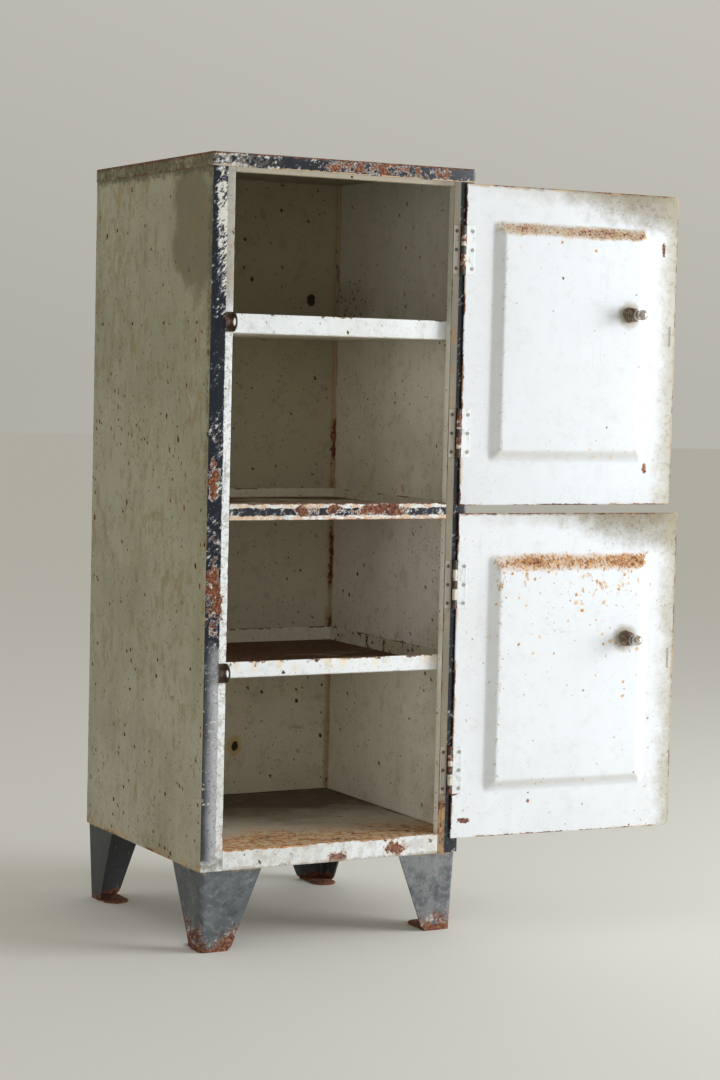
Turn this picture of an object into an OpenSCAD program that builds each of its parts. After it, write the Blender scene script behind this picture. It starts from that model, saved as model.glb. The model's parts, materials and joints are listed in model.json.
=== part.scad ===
// Two-door pantry cabinet in pressed sheet steel, on four pressed legs, with both doors folded back.
// Frame: origin on the floor under the middle of the cabinet, +X to the right, front towards -Y, +Z up.

/* [Cabinet] */
// Width of the body across its side panels
body_w = 457; // [380:1:700]
// Depth of the body from stiles to back
body_d = 457; // [300:1:600]
// Height from the floor to the top of the lid
total_h = 1219; // [1150:1:1400]
// Clear height under the body
leg_h = 127; // [60:1:250]
// Thickness of the sheet steel
sheet = 1.2; // [0.8:0.1:2]
// Radius of the folded outer corners
fold_r = 4; // [3:0.5:8]

/* [Front frame] */
// Width of each front stile
stile_w = 38; // [30:1:60]
// Depth of the flange turned in behind each stile
return_d = 14; // [8:1:25]
// Depth of the lip turned down around the lid
lid_lip = 21.5; // [12:0.5:40]
// Height of the top rail showing under the lid lip
top_rail_show = 7; // [4:1:30]
// Height of the bottom rail and pan skirt
pan_h = 31; // [20:1:60]
// Height of the middle rail
mid_rail_h = 25; // [15:1:50]

/* [Shelves] */
// Underside of the upper shelf above the floor
upper_shelf_z = 948.5; // [800:0.5:1050]
// Lip height of the upper shelf
upper_lip = 30; // [15:1:45]
// Underside of the middle rail above the floor
mid_rail_z = 665; // [600:1:720]
// Lip height of the middle shelf
mid_lip = 16; // [10:1:30]
// Underside of the lower shelf above the floor
lower_shelf_z = 421.5; // [300:0.5:550]
// Lip height of the lower shelf
lower_lip = 25; // [15:1:45]
// Gap between a shelf and the walls
shelf_gap = 0.4; // [0:0.1:1]

/* [Doors] */
// Width of a door
door_w = 407; // [330:1:640]
// Distance from the left side to the free edge of a closed door
door_x = 25; // [15:1:40]
// Bottom and top edge of the upper door
upper_door_z = [686.5, 1196]; // [600:0.5:1300]
// Bottom and top edge of the lower door
lower_door_z = [150, 674]; // [130:0.5:800]
// Angle that the upper door stands open
upper_open = 179.5; // [0:0.5:180]
// Angle that the lower door stands open
lower_open = 176; // [0:0.5:180]
// Gap between a closed door and the stiles
door_gap = 3.6; // [3.4:0.1:5]
// Width of the folded hem around a door
hem_w = 8; // [5:1:12]
// Thickness of the folded hem over the skin
hem_t = 1.4; // [1.2:0.1:2]
// Radius of the free corners of a door
door_corner_r = 8; // [3:1:20]

/* [Pressed panel] */
// Width and height of the pressed panel in each door
panel_size = [298, 382]; // [200:1:450]
// Height that the panel stands proud of the inner face
panel_rise = 10; // [4:1:14]
// Width of the sloping edge of the panel
panel_slope = 18; // [8:1:30]
// Distances from the hinge edge to the upper and the lower panel
panel_inset = [51, 56]; // [40:1:80]
// Bottom of the upper and of the lower panel above the floor
panel_z = [757, 224]; // [180:1:900]

/* [Hinges] */
// Distance from the left side to the hinge pins
pin_x = 436; // [360:1:680]
// Distance of the hinge pins in front of the stiles
pin_y = 4.1; // [4:0.1:6]
// Radius of a hinge pin
pin_r = 1.75; // [1.5:0.05:2]
// Outer radius of a knuckle
knuckle_r = 3.5; // [3:0.1:4]
// Lengths of the knuckles from the top down
knuckles = [13.5, 18, 13, 18, 13.5]; // [8:0.5:30]
// Distance between the rivets of a leaf
leaf_pitch = 29.6; // [20:0.1:32]
// Heights of the hinge centres of the upper door
upper_hinge_z = [801, 1091]; // [730:1:1160]
// Heights of the hinge centres of the lower door
lower_hinge_z = [260.7, 559.5]; // [190:0.1:630]

/* [Padlock eyes] */
// Heights of the upper and of the lower eye
eye_z = [965, 432]; // [200:1:1150]
// Distance from the left side to the middle of the eye plates
eye_x = 36.5; // [33:0.5:40]
// Thickness of an eye plate
eye_t = 2.2; // [1.5:0.1:3]
// Height of an eye plate
eye_h = 30; // [24:1:34]
// Distance that an eye plate stands in front of the stile
eye_reach = 17; // [15:0.5:20]
// Radius of the eye
eye_r = 6; // [3:0.1:6.5]
// Width and height of the slot in the door for the eye plate
slot_size = [4.2, 34]; // [3:0.1:40]

/* [Knobs] */
// Distance from the left side to the knob spindles
spindle_x = 124; // [110:1:150]
// Heights of the upper and of the lower spindle
spindle_z = [998, 468]; // [200:1:1150]
// Radius of a spindle
spindle_r = 4; // [3:0.5:5]
// Length of the spring between the door and the cup
spring_l = 28; // [20:1:40]
// Radii of the spring at the door and at the cup
spring_r = [11.6, 8.2]; // [7:0.1:16]
// Radius of the spring wire
wire_r = 1.4; // [0.8:0.1:2]
// Radius of the ball nut
ball_r = 9; // [7:0.5:12]
// Radius of the knob
knob_r = 16; // [12:0.5:20]

/* [Legs] */
// Thickness of the leg plate
leg_t = 3; // [2:0.5:5]
// Width of each leg flange at the top
leg_top_w = 104; // [60:1:130]
// Widths of the front flange and of the side flange at the foot
leg_foot_w = [50, 40]; // [30:1:80]
// Angle at which the legs lean in
leg_lean = 2; // [0:0.5:4]
// Distances between the foot bolt holes, across and from front to back
foot_spacing = [393, 343]; // [200:1:640]
// Radius of the foot bolt holes
foot_hole_r = 4.5; // [3:0.5:6]

/* [Rivets] */
// Radius of the rivet shanks
rivet_r = 2; // [1.5:0.5:2.5]
// Distances of the shelf rivets behind the front
shelf_rivet_y = [48, 172, 296, 420]; // [30:1:430]

/* [Hidden] */
$fn = 48;
enamel = "#dfe3df";
black_enamel = "#22262c";
shelf_enamel = "#c9c5b8";
slate = "#59636b";
rusty_steel = "#6d4a36";
chrome = "#a9a7a0";
eps = 0.1;                                  // overshoot of a cut past the face it opens
rivet_fit = 0.05;                           // clearance of a shank in its hole
pin_fit = 0.05;                             // running clearance of a pin or spindle
knuckle_gap = 0.3;                          // gap between two knuckles
leaf_t = 1.2;                               // thickness of a hinge leaf
leaf_edge = 431.9 - pin_x;                  // edge of a leaf beside the knuckles, from the pin
frame_leaf_w = 12.3;                        // width of a frame leaf up to that edge
door_leaf_w = 15.9;                         // width of a door leaf up to that edge
frame_rivet_x = pin_x - 11;                 // line of the rivets through the stile
door_rivet_x = door_x + door_w - 11.5;      // line of the rivets through the door
lid_z = total_h - sheet;                    // underside of the lid's top
top_rail_z = total_h - lid_lip - top_rail_show;
pan_z = leg_h + pan_h;                      // floor of the bottom compartment
shelf_front = return_d + 1;                 // front of the shelves, behind the stile returns
back_y = body_d - 2 * sheet;                // inner face of the back panel
skin_in = -door_gap;                        // inner face of a closed door, from the front plane
skin_out = skin_in - sheet;
panel_in = skin_in + panel_rise;            // inner face of the pressed panel
panel_out = panel_in - sheet;
cup_y = panel_in + spring_l;                // far end of the spring
cup_t = 2;
rose_t = 1.5;
tab_t = 1.5;                                // thickness of an eye's base tab
tab_w = 10;
upper = 0;
lower = 1;
door_z = [upper_door_z, lower_door_z];
open_angle = [upper_open, lower_open];

// Moves the origin from the middle of the plan to the left end of the front plane
module from_front_left() {
    translate([-body_w / 2, -body_d / 2, 0]) children();
}

// Swings a door and what it carries from the closed place to the angle it stands open
module on_door(which) {
    from_front_left() translate([pin_x, -pin_y, 0]) rotate(open_angle[which])
        translate([-pin_x, pin_y, 0]) children();
}

// A block between two corners
module block(low, high) {
    translate(low) cube(high - low);
}

// A rectangle from the origin with four round corners
module round_rect(size, r) {
    for (x = [r, size[0] - r], y = [r, size[1] - r]) translate([x, y]) circle(r);
    translate([r, 0]) square([size[0] - 2 * r, size[1]]);
    translate([0, r]) square([size[0], size[1] - 2 * r]);
}

// Draws a flat shape in the plane of the front, from y0 back to y1
module upright(y0, y1) {
    translate([0, y1, 0]) rotate([90, 0, 0]) linear_extrude(y1 - y0) children();
}

// A turned shape whose axis runs from front to back through (x, z)
module turned(x, z) {
    translate([x, 0, z]) rotate([-90, 0, 0]) rotate_extrude() children();
}

// A round bar along Y, or a cut for one
module bar_y(x, z, r, y0, y1) {
    translate([x, y0, z]) rotate([-90, 0, 0]) cylinder(h = y1 - y0, r = r);
}

// A rivet along Y through the sheets from y0 to y1, with a low head at each end
module rivet_y(x, z, y0, y1, front_head, back_head) {
    head_r = rivet_r + 1;
    bar_y(x, z, rivet_r, y0, y1);
    bar_y(x, z, head_r, y0 - front_head, y0);
    bar_y(x, z, head_r, y1, y1 + back_head);
}

// The rounded fold at the front left corner of a side panel, in plan
module fold() {
    intersection() {
        translate([fold_r, fold_r]) difference() {
            circle(fold_r);
            circle(fold_r - sheet);
        }
        square([fold_r, fold_r]);
    }
}

// One side panel in plan: wall, folded corners, stile, return flange and rear flange
module side_plan() {
    rear_flange = 12;
    translate([0, fold_r]) square([sheet, body_d - 2 * fold_r]);
    translate([fold_r, 0]) square([stile_w - fold_r, sheet]);
    translate([stile_w - sheet, 0]) square([sheet, return_d]);
    translate([fold_r, body_d - sheet]) square([rear_flange - fold_r, sheet]);
    fold();
    translate([0, body_d]) mirror([0, 1]) fold();
}

// Holes for the shelf rivets in a side wall or in the lips of a tray
module shelf_rivet_holes(x0, x1) {
    for (y = shelf_rivet_y, z = [upper_shelf_z + upper_lip / 2, lower_shelf_z + lower_lip / 2])
        translate([x0, y, z]) rotate([0, 90, 0]) cylinder(h = x1 - x0, r = rivet_r + rivet_fit);
}

module side_shell() {
    difference() {
        translate([0, 0, leg_h]) linear_extrude(lid_z - leg_h) side_plan();
        shelf_rivet_holes(-eps, sheet + eps);
    }
}

module left_side() {
    color(enamel) from_front_left() difference() {
        side_shell();
        for (z = eye_z, dz = [-1, 1])
            bar_y(eye_x - tab_w / 2 - eye_t / 2, z + dz * eye_h / 4, rivet_r + rivet_fit, -eps, sheet + eps);
    }
}

module right_side() {
    color(enamel) from_front_left() difference() {
        translate([body_w, 0, 0]) mirror([1, 0, 0]) side_shell();
        for (hinge = concat(upper_hinge_z, lower_hinge_z), row = [-1, 0, 1])
            bar_y(frame_rivet_x, hinge + row * leaf_pitch, rivet_r + rivet_fit, -eps, sheet + eps);
    }
}

module back_panel() {
    color(enamel) from_front_left()
        block([fold_r, back_y, leg_h], [body_w - fold_r, back_y + sheet, lid_z]);
}

// The cap that closes the body, with its lip outside the walls
module lid() {
    inside = [body_w, body_d];
    color(enamel) from_front_left() difference() {
        translate([-sheet, -sheet, total_h - lid_lip])
            linear_extrude(lid_lip) round_rect(inside + 2 * [sheet, sheet], fold_r + sheet);
        translate([0, 0, total_h - lid_lip - eps])
            linear_extrude(lid_lip - sheet + eps) round_rect(inside, fold_r);
    }
}

// A rail between the stiles with a flange turned in at its top or bottom
module rail(z0, z1, flange_z, flange_d) {
    x0 = stile_w;
    x1 = body_w - stile_w;
    block([x0, 0, z0], [x1, sheet, z1]);
    for (z = flange_z) block([x0, 0, z], [x1, flange_d, z + sheet]);
}

module top_rail() {
    color(enamel) from_front_left() rail(top_rail_z, lid_z, [top_rail_z], return_d);
}

module mid_rail() {
    top = mid_rail_z + mid_rail_h;
    color(black_enamel) from_front_left()
        rail(mid_rail_z, top, [mid_rail_z, top - sheet], return_d);
}

// The floor of the cabinet, with its front rail and the skirts that the legs are welded to
module bottom_pan() {
    rear_fold = body_d - fold_r;
    color(enamel) from_front_left() {
        rail(leg_h, pan_z, [leg_h, pan_z - sheet], return_d);
        block([sheet, return_d, pan_z - sheet], [body_w - sheet, rear_fold, pan_z]);
        block([fold_r, return_d, pan_z - sheet], [body_w - fold_r, back_y, pan_z]);
        for (x = [sheet, body_w - 2 * sheet])
            block([x, return_d, leg_h], [x + sheet, rear_fold, pan_z]);
        block([fold_r, back_y - sheet, leg_h], [body_w - fold_r, back_y, pan_z]);
    }
}

// A tray shelf with a lip turned up on all four sides
module tray(z, floor_up, lip) {
    gap = sheet + shelf_gap;
    x1 = body_w - gap;
    y1 = back_y - shelf_gap;
    block([gap, shelf_front, z + floor_up], [x1, y1, z + floor_up + sheet]);
    for (x = [gap, x1 - sheet]) block([x, shelf_front, z + floor_up], [x + sheet, y1, z + lip]);
    for (y = [shelf_front, y1 - sheet]) block([gap, y, z + floor_up], [x1, y + sheet, z + lip]);
}

module riveted_tray(z, lip) {
    color(shelf_enamel) from_front_left() difference() {
        tray(z, 0, lip);
        shelf_rivet_holes(0, stile_w);
        shelf_rivet_holes(body_w - stile_w, body_w);
    }
}

module upper_shelf() {
    riveted_tray(upper_shelf_z, upper_lip);
}

module lower_shelf() {
    riveted_tray(lower_shelf_z, lower_lip);
}

module mid_shelf() {
    top = mid_rail_z + mid_rail_h;
    color(shelf_enamel) from_front_left() tray(top - mid_lip, 0, mid_lip);
}

// The rivets that hold the two loose shelves, as separate solids
module shelf_rivets() {
    inner = 2 * sheet + shelf_gap;
    color(rusty_steel) from_front_left() for (side = [0, 1])
        translate([side * body_w, 0, 0]) mirror([side, 0, 0])
            for (y = shelf_rivet_y, z = [upper_shelf_z + upper_lip / 2, lower_shelf_z + lower_lip / 2])
                translate([0, y, z]) rotate([0, 90, 0]) {
                    cylinder(h = inner, r = rivet_r);
                    translate([0, 0, -0.6]) cylinder(h = 0.6, r1 = rivet_r, r2 = rivet_r + 0.7);
                    translate([0, 0, inner]) cylinder(h = 0.6, r1 = rivet_r + 0.7, r2 = rivet_r);
                }
}

// The tapering plate of a leg flange, upright at z = 0 and hanging down from it
module leg_plate(foot_w) {
    drop = leg_h + 2 * leg_t;
    corner = 10;
    linear_extrude(leg_t) difference() {
        polygon([[0, 0], [leg_top_w, 0], [foot_w, -leg_h + corner], [foot_w, -drop], [0, -drop]]);
        translate([foot_w - corner, -leg_h - eps]) difference() {
            square([corner + eps, corner + eps]);
            translate([0, corner + eps]) circle(corner);
        }
    }
}

// One leg at the front left corner: two leaning flanges, the plate inside the skirt and the foot pad
module leg() {
    inset = 2 * sheet;
    hole = [(body_w - foot_spacing[0]) / 2, (body_d - foot_spacing[1]) / 2];
    toe_r = 21;
    foot_in = inset + leg_h * sin(leg_lean);
    up = pan_h - 2 * sheet;
    y0 = return_d + leg_t;
    color(slate) difference() {
        union() {
            intersection() {
                translate([inset, inset, leg_h]) rotate([leg_lean, -leg_lean, 0]) {
                    translate([0, leg_t, 0]) rotate([90, 0, 0]) leg_plate(leg_foot_w[0]);
                    rotate([90, 0, 90]) leg_plate(leg_foot_w[1]);
                }
                block([0, 0, 0], [body_w / 2, body_d / 2, leg_h]);
            }
            block([inset, y0, leg_h - leg_t], [inset + leg_t, leg_top_w, leg_h + up]);
            linear_extrude(leg_t) {
                translate(hole) circle(toe_r);
                translate([hole[0] - toe_r, foot_in]) square([2 * toe_r, hole[1] - foot_in]);
            }
        }
        translate([hole[0], hole[1], -eps]) cylinder(h = leg_t + 2 * eps, r = foot_hole_r);
    }
}

module front_left_leg() {
    from_front_left() leg();
}

module front_right_leg() {
    mirror([1, 0, 0]) front_left_leg();
}

module rear_left_leg() {
    mirror([0, 1, 0]) front_left_leg();
}

module rear_right_leg() {
    mirror([0, 1, 0]) front_right_leg();
}

// The eye plate that passes through the door's slot, on its base tab
module padlock_eye(which) {
    z = eye_z[which];
    end_r = eye_h / 2;
    color(rusty_steel) from_front_left() difference() {
        union() {
            translate([eye_x - eye_t / 2, 0, z]) rotate([90, 0, 90]) linear_extrude(eye_t)
                intersection() {
                    union() {
                        translate([-eye_reach + end_r, 0]) circle(end_r);
                        translate([-eye_reach + end_r, -end_r]) square([eye_reach - end_r, eye_h]);
                    }
                    translate([-eye_reach, -end_r]) square([eye_reach, eye_h]);
                }
            block([eye_x - eye_t / 2 - tab_w, -tab_t, z - end_r], [eye_x, 0, z + end_r]);
        }
        translate([eye_x - eye_t, -eye_reach / 2, z]) rotate([0, 90, 0])
            cylinder(h = 2 * eye_t, r = eye_r);
        for (dz = [-1, 1])
            bar_y(eye_x - tab_w / 2 - eye_t / 2, z + dz * eye_h / 4, rivet_r + rivet_fit, -tab_t - eps, eps);
    }
}

module eye_rivets() {
    color(rusty_steel) from_front_left() for (z = eye_z, dz = [-1, 1])
        rivet_y(eye_x - tab_w / 2 - eye_t / 2, z + dz * eye_h / 4, -tab_t, sheet, 0.8, 0.8);
}

// Height of the underside of knuckle i above the hinge centre
function knuckle_z(i) = -38 + (i == 0 ? 0 : knuckle_z(i - 1) + 38 + knuckles[i - 1]);

// The knuckles and leaf of one half of a hinge, with the pin axis at the origin
module hinge_half(z, mine, leaf_y, leaf_w, tongue) {
    translate([0, 0, z]) difference() {
        union() {
            block([leaf_edge - leaf_w, leaf_y, knuckle_z(0)], [leaf_edge, leaf_y + leaf_t, -knuckle_z(0)]);
            for (i = mine) {
                z0 = knuckle_z(i) + (i == 0 ? 0 : knuckle_gap / 2);
                z1 = knuckle_z(i) + knuckles[i] - (i == 4 ? 0 : knuckle_gap / 2);
                translate([0, 0, z0]) cylinder(h = z1 - z0, r = knuckle_r);
                block([leaf_edge - 1, leaf_y, z0], [tongue, leaf_y + leaf_t, z1]);
            }
        }
        translate([0, 0, knuckle_z(0) - eps]) cylinder(h = -2 * knuckle_z(0) + 2 * eps, r = pin_r + pin_fit);
    }
}

// The leaf that is riveted to the stile
module frame_leaf(z) {
    color(rusty_steel) from_front_left() difference() {
        translate([pin_x, -pin_y, 0]) hinge_half(z, [0, 2, 4], pin_y - leaf_t, frame_leaf_w, 0);
        for (row = [-1, 0, 1])
            bar_y(frame_rivet_x, z + row * leaf_pitch, rivet_r + rivet_fit, -leaf_t - eps, eps);
    }
}

// The leaf that is riveted to the inner face of a door
module door_leaf(which, z) {
    hole_r = rivet_r + rivet_fit;
    color(enamel) on_door(which) difference() {
        translate([pin_x, -pin_y, 0]) hinge_half(z, [1, 3], pin_y + skin_in, door_leaf_w, -pin_r);
        for (row = [-1, 0, 1])
            bar_y(door_rivet_x, z + row * leaf_pitch, hole_r, skin_in - eps, skin_in + leaf_t + eps);
    }
}

// A hinge pin with a low head at each end
module hinge_pin(z) {
    head_h = 1.2;
    half = -knuckle_z(0);
    color(rusty_steel) from_front_left() translate([pin_x, -pin_y, z]) {
        translate([0, 0, -half]) cylinder(h = 2 * half, r = pin_r);
        translate([0, 0, half + rivet_fit]) cylinder(h = head_h, r1 = knuckle_r - 0.6, r2 = pin_r);
        translate([0, 0, -half - rivet_fit - head_h]) cylinder(h = head_h, r1 = pin_r, r2 = knuckle_r - 0.6);
        for (end = [-half - rivet_fit - eps, half - eps])
            translate([0, 0, end]) cylinder(h = rivet_fit + 2 * eps, r = pin_r);
    }
}

module frame_leaf_rivets() {
    color(rusty_steel) from_front_left()
        for (z = concat(upper_hinge_z, lower_hinge_z), row = [-1, 0, 1])
            rivet_y(frame_rivet_x, z + row * leaf_pitch, -leaf_t, sheet, 0.2, 0.8);
}

module door_leaf_rivets(which, hinges) {
    color(enamel) on_door(which)
        for (z = hinges, row = [-1, 0, 1])
            rivet_y(door_rivet_x, z + row * leaf_pitch, skin_out, skin_in + leaf_t, 0.6, 0.6);
}

// The outline of a door: round corners at the free edge, small ones at the hinge edge.
// The lower door's top corner is left nearly square.
module door_outline(which, inset) {
    size = [door_w - 2 * inset, door_z[which][1] - door_z[which][0] - 2 * inset];
    r = max(door_corner_r - inset, 1);
    small = max(2 - inset, 0.5);
    top_r = which == lower ? small : r;
    translate([door_x + inset, door_z[which][0] + inset]) {
        translate([r, r]) circle(r);
        translate([top_r, size[1] - top_r]) circle(top_r);
        for (y = [small, size[1] - small]) translate([size[0] - small, y]) circle(small);
        translate([r, 0]) square([size[0] - r - small, r]);
        translate([top_r, size[1] - top_r]) square([size[0] - top_r - small, top_r]);
        translate([0, r]) square([size[0] - small, size[1] - r - top_r]);
        translate([size[0] - small - 1, small]) square([small + 1, size[1] - 2 * small]);
    }
}

// The space under the pressed panel, from y0 to y0 + rise, with sloping sides
module panel_form(which, y0) {
    x = door_x + door_w - panel_inset[which] - panel_size[0];
    z = panel_z[which];
    corner = 22;
    thin = 0.1;
    hull() {
        translate([x, 0, z]) upright(y0 - thin, y0) round_rect(panel_size, corner, $fn = 32);
        translate([x + panel_slope, 0, z + panel_slope]) upright(y0 + panel_rise - thin, y0 + panel_rise)
            round_rect(panel_size - 2 * [panel_slope, panel_slope], corner - 6, $fn = 32);
    }
}

// A door pressed from one sheet: raised panel, hem folded to the outside, slot and holes
module door_skin(which, hinges) {
    color(enamel) on_door(which) difference() {
        union() {
            upright(skin_out, skin_in) door_outline(which, 0);
            upright(skin_out - hem_t, skin_out) difference() {
                door_outline(which, 0);
                door_outline(which, hem_w);
            }
            panel_form(which, skin_in);
        }
        panel_form(which, skin_out);
        bar_y(spindle_x, spindle_z[which], spindle_r + pin_fit, panel_out - eps, panel_in + eps);
        translate([eye_x - slot_size[0] / 2, skin_out - eps, eye_z[which] - slot_size[1] / 2])
            cube([slot_size[0], sheet + 2 * eps, slot_size[1]]);
        for (z = hinges, row = [-1, 0, 1])
            bar_y(door_rivet_x, z + row * leaf_pitch, rivet_r + rivet_fit, skin_out - eps, skin_in + eps);
    }
}

// The round plate under a knob, on the outer face of the pressed panel
module rose(which) {
    color(chrome) on_door(which) difference() {
        turned(spindle_x, spindle_z[which])
            translate([0, panel_out - rose_t]) square([knob_r - 2, rose_t]);
        bar_y(spindle_x, spindle_z[which], spindle_r + pin_fit, panel_out - rose_t - eps, panel_out + eps);
    }
}

// The conical coil spring as a ribbed sleeve, one rib for each turn
module spring(which) {
    turns = 10;
    pitch = (spring_l - 2 * wire_r) / (turns - 1);
    core = 2 * spindle_r - 1.5;
    color(rusty_steel) on_door(which) turned(spindle_x, spindle_z[which]) {
        for (i = [0:turns - 1])
            translate([spring_r[0] + (spring_r[1] - spring_r[0]) * i / (turns - 1),
                       panel_in + wire_r + i * pitch]) circle(wire_r, $fn = 24);
        polygon([[core, panel_in + wire_r], [spring_r[0], panel_in + wire_r],
                 [spring_r[1], cup_y - wire_r], [core, cup_y - wire_r]]);
    }
}

// The rod that joins the knob to the ball nut
module spindle(which) {
    color(chrome) on_door(which)
        bar_y(spindle_x, spindle_z[which], spindle_r, panel_out - rose_t - 22, cup_y + cup_t + 12);
}

module spring_cup(which) {
    color(chrome) on_door(which) difference() {
        bar_y(spindle_x, spindle_z[which], ball_r + 0.5, cup_y, cup_y + cup_t);
        bar_y(spindle_x, spindle_z[which], spindle_r + rivet_fit, cup_y - eps, cup_y + cup_t + eps);
    }
}

module ball_nut(which) {
    flat = 1.5;
    color(chrome) on_door(which) difference() {
        turned(spindle_x, spindle_z[which]) intersection() {
            translate([0, cup_y + cup_t + ball_r - flat]) circle(ball_r);
            translate([0, cup_y + cup_t]) square([ball_r, 2 * ball_r]);
        }
        bar_y(spindle_x, spindle_z[which], spindle_r + rivet_fit, cup_y + cup_t - eps, cup_y + cup_t + 13);
    }
}

// The knob on the outer face: a neck and a flattened round head
module knob(which) {
    base = panel_out - rose_t - pin_fit;
    neck_r = 7;
    neck_l = 10;
    head_l = 20;
    edge = 6;
    color(chrome) on_door(which) difference() {
        turned(spindle_x, spindle_z[which]) {
            translate([0, base - neck_l]) square([neck_r, neck_l]);
            translate([0, base - neck_l - head_l + edge]) square([knob_r, head_l - 2 * edge]);
            translate([0, base - neck_l - head_l]) square([knob_r - edge, head_l]);
            intersection() {
                for (y = [edge, head_l - edge])
                    translate([knob_r - edge, base - neck_l - y]) circle(edge);
                translate([0, base - neck_l - head_l]) square([knob_r, head_l]);
            }
        }
        bar_y(spindle_x, spindle_z[which], spindle_r + pin_fit, base - 23, base + eps);
    }
}

left_side();
right_side();
back_panel();
lid();
top_rail();
mid_rail();
bottom_pan();
upper_shelf();
mid_shelf();
lower_shelf();
front_left_leg();
front_right_leg();
rear_left_leg();
rear_right_leg();
shelf_rivets();
padlock_eye(upper);  // upper_padlock_eye
padlock_eye(lower);  // lower_padlock_eye
eye_rivets();
frame_leaf(upper_hinge_z[0]);  // upper_frame_leaf_a
frame_leaf(upper_hinge_z[1]);  // upper_frame_leaf_b
frame_leaf(lower_hinge_z[0]);  // lower_frame_leaf_a
frame_leaf(lower_hinge_z[1]);  // lower_frame_leaf_b
hinge_pin(upper_hinge_z[0]);  // upper_hinge_pin_a
hinge_pin(upper_hinge_z[1]);  // upper_hinge_pin_b
hinge_pin(lower_hinge_z[0]);  // lower_hinge_pin_a
hinge_pin(lower_hinge_z[1]);  // lower_hinge_pin_b
frame_leaf_rivets();
door_leaf(upper, upper_hinge_z[0]);  // upper_door_leaf_a
door_leaf(upper, upper_hinge_z[1]);  // upper_door_leaf_b
door_leaf(lower, lower_hinge_z[0]);  // lower_door_leaf_a
door_leaf(lower, lower_hinge_z[1]);  // lower_door_leaf_b
door_leaf_rivets(upper, upper_hinge_z);  // upper_door_leaf_rivets
door_leaf_rivets(lower, lower_hinge_z);  // lower_door_leaf_rivets
door_skin(upper, upper_hinge_z);  // upper_door_skin
door_skin(lower, lower_hinge_z);  // lower_door_skin
rose(upper);  // upper_rose
rose(lower);  // lower_rose
spring(upper);  // upper_spring
spring(lower);  // lower_spring
spindle(upper);  // upper_spindle
spindle(lower);  // lower_spindle
spring_cup(upper);  // upper_spring_cup
spring_cup(lower);  // lower_spring_cup
ball_nut(upper);  // upper_ball_nut
ball_nut(lower);  // lower_ball_nut
knob(upper);  // upper_knob
knob(lower);  // lower_knob
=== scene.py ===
"""Looks of a two-door pantry cabinet in old enamelled steel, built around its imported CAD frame.

Everything is in metres in the row frame: origin on the floor under the middle of the cabinet, front towards -Y.
"""

import json
import math

import bpy
from mathutils import Matrix, Vector


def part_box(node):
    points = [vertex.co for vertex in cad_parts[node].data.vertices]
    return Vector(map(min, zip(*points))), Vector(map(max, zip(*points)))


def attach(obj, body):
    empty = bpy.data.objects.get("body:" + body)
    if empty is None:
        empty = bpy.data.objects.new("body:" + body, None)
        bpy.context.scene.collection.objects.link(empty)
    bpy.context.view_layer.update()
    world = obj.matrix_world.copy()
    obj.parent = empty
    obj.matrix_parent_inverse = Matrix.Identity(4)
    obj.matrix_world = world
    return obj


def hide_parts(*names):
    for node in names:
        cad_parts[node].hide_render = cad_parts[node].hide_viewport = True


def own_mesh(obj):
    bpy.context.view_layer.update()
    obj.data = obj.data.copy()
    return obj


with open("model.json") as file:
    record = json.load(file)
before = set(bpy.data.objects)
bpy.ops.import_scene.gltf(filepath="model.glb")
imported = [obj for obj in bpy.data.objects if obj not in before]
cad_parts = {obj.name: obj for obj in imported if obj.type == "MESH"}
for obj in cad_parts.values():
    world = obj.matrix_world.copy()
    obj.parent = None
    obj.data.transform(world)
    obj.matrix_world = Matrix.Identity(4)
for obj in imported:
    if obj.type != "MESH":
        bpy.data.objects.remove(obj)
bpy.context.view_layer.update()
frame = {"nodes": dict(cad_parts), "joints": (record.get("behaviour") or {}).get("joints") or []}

MM = 0.001

# Places read from the frame
LEFT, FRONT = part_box("left_side")[0].xy
STILE_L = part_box("left_side")[1].x
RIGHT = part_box("right_side")[1].x
STILE_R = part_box("right_side")[0].x
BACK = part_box("back_panel")[0].y
BODY_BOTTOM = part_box("left_side")[0].z
LID_LOW, LID_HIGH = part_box("lid")
RAIL_LOW, RAIL_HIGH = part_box("mid_rail")
PAN_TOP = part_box("bottom_pan")[1].z
HINGES = {j["child"]: j for j in frame["joints"] if j["type"] == "hinge"}
PIN_X = HINGES["upper_door"]["pos_m"][0]

# Dark blots on the back wall, as x, z and radius, and heights of the trays that have stained the side walls
BLOTS = ((0.175, 1.018, 0.008), (0.045, 0.242, 0.006), (0.06, 1.05, 0.003))
STAINED_TRAYS = (0.4215, 0.674)

# The photo's camera: its place, its yaw, pitch and roll in degrees, and its lens in millimetres
CAMERA_PLACE = (-1.7792, -3.5655, 0.8879)
CAMERA_TURN = (28.545, -3.843, 1.365)
LENS = 81.27

# Sizes of the pressed sheet
SHEET = 1.2 * MM
BLACK_TRIM = 25.4 * MM
HEM_WIDTH = 8 * MM
HEM_THICK = 2.6 * MM
TRAY_FOLD = 2.6 * MM
TRAY_CORNER = 3 * MM
LID_CORNER = 5.2 * MM
PANEL_RISE = 10 * MM
PANEL_SLOPE = 18 * MM
PANEL_SIZE = (298 * MM, 382 * MM)
PANEL_INSET = {"upper": 51 * MM, "lower": 56 * MM}
PANEL_LOW = {"upper": 757 * MM, "lower": 224 * MM}
SLOT_SIZE = (4.2 * MM, 34 * MM)
HOLE_RADIUS = 4.4 * MM
WIRE_RADIUS = 1.3 * MM
LEG_TOP = 104 * MM
LEG_FOOT = (50 * MM, 40 * MM)
FOOT_CORNER = 10 * MM
FOOT_HOLE = (393 / 2 * MM, 343 / 2 * MM)
FOOT_HOLE_RADIUS = 4.5 * MM
TOE_RADIUS = 21 * MM
SPRING_TURNS = 7
SPRING_RADII = (11.8 * MM, 8.0 * MM)
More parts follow.
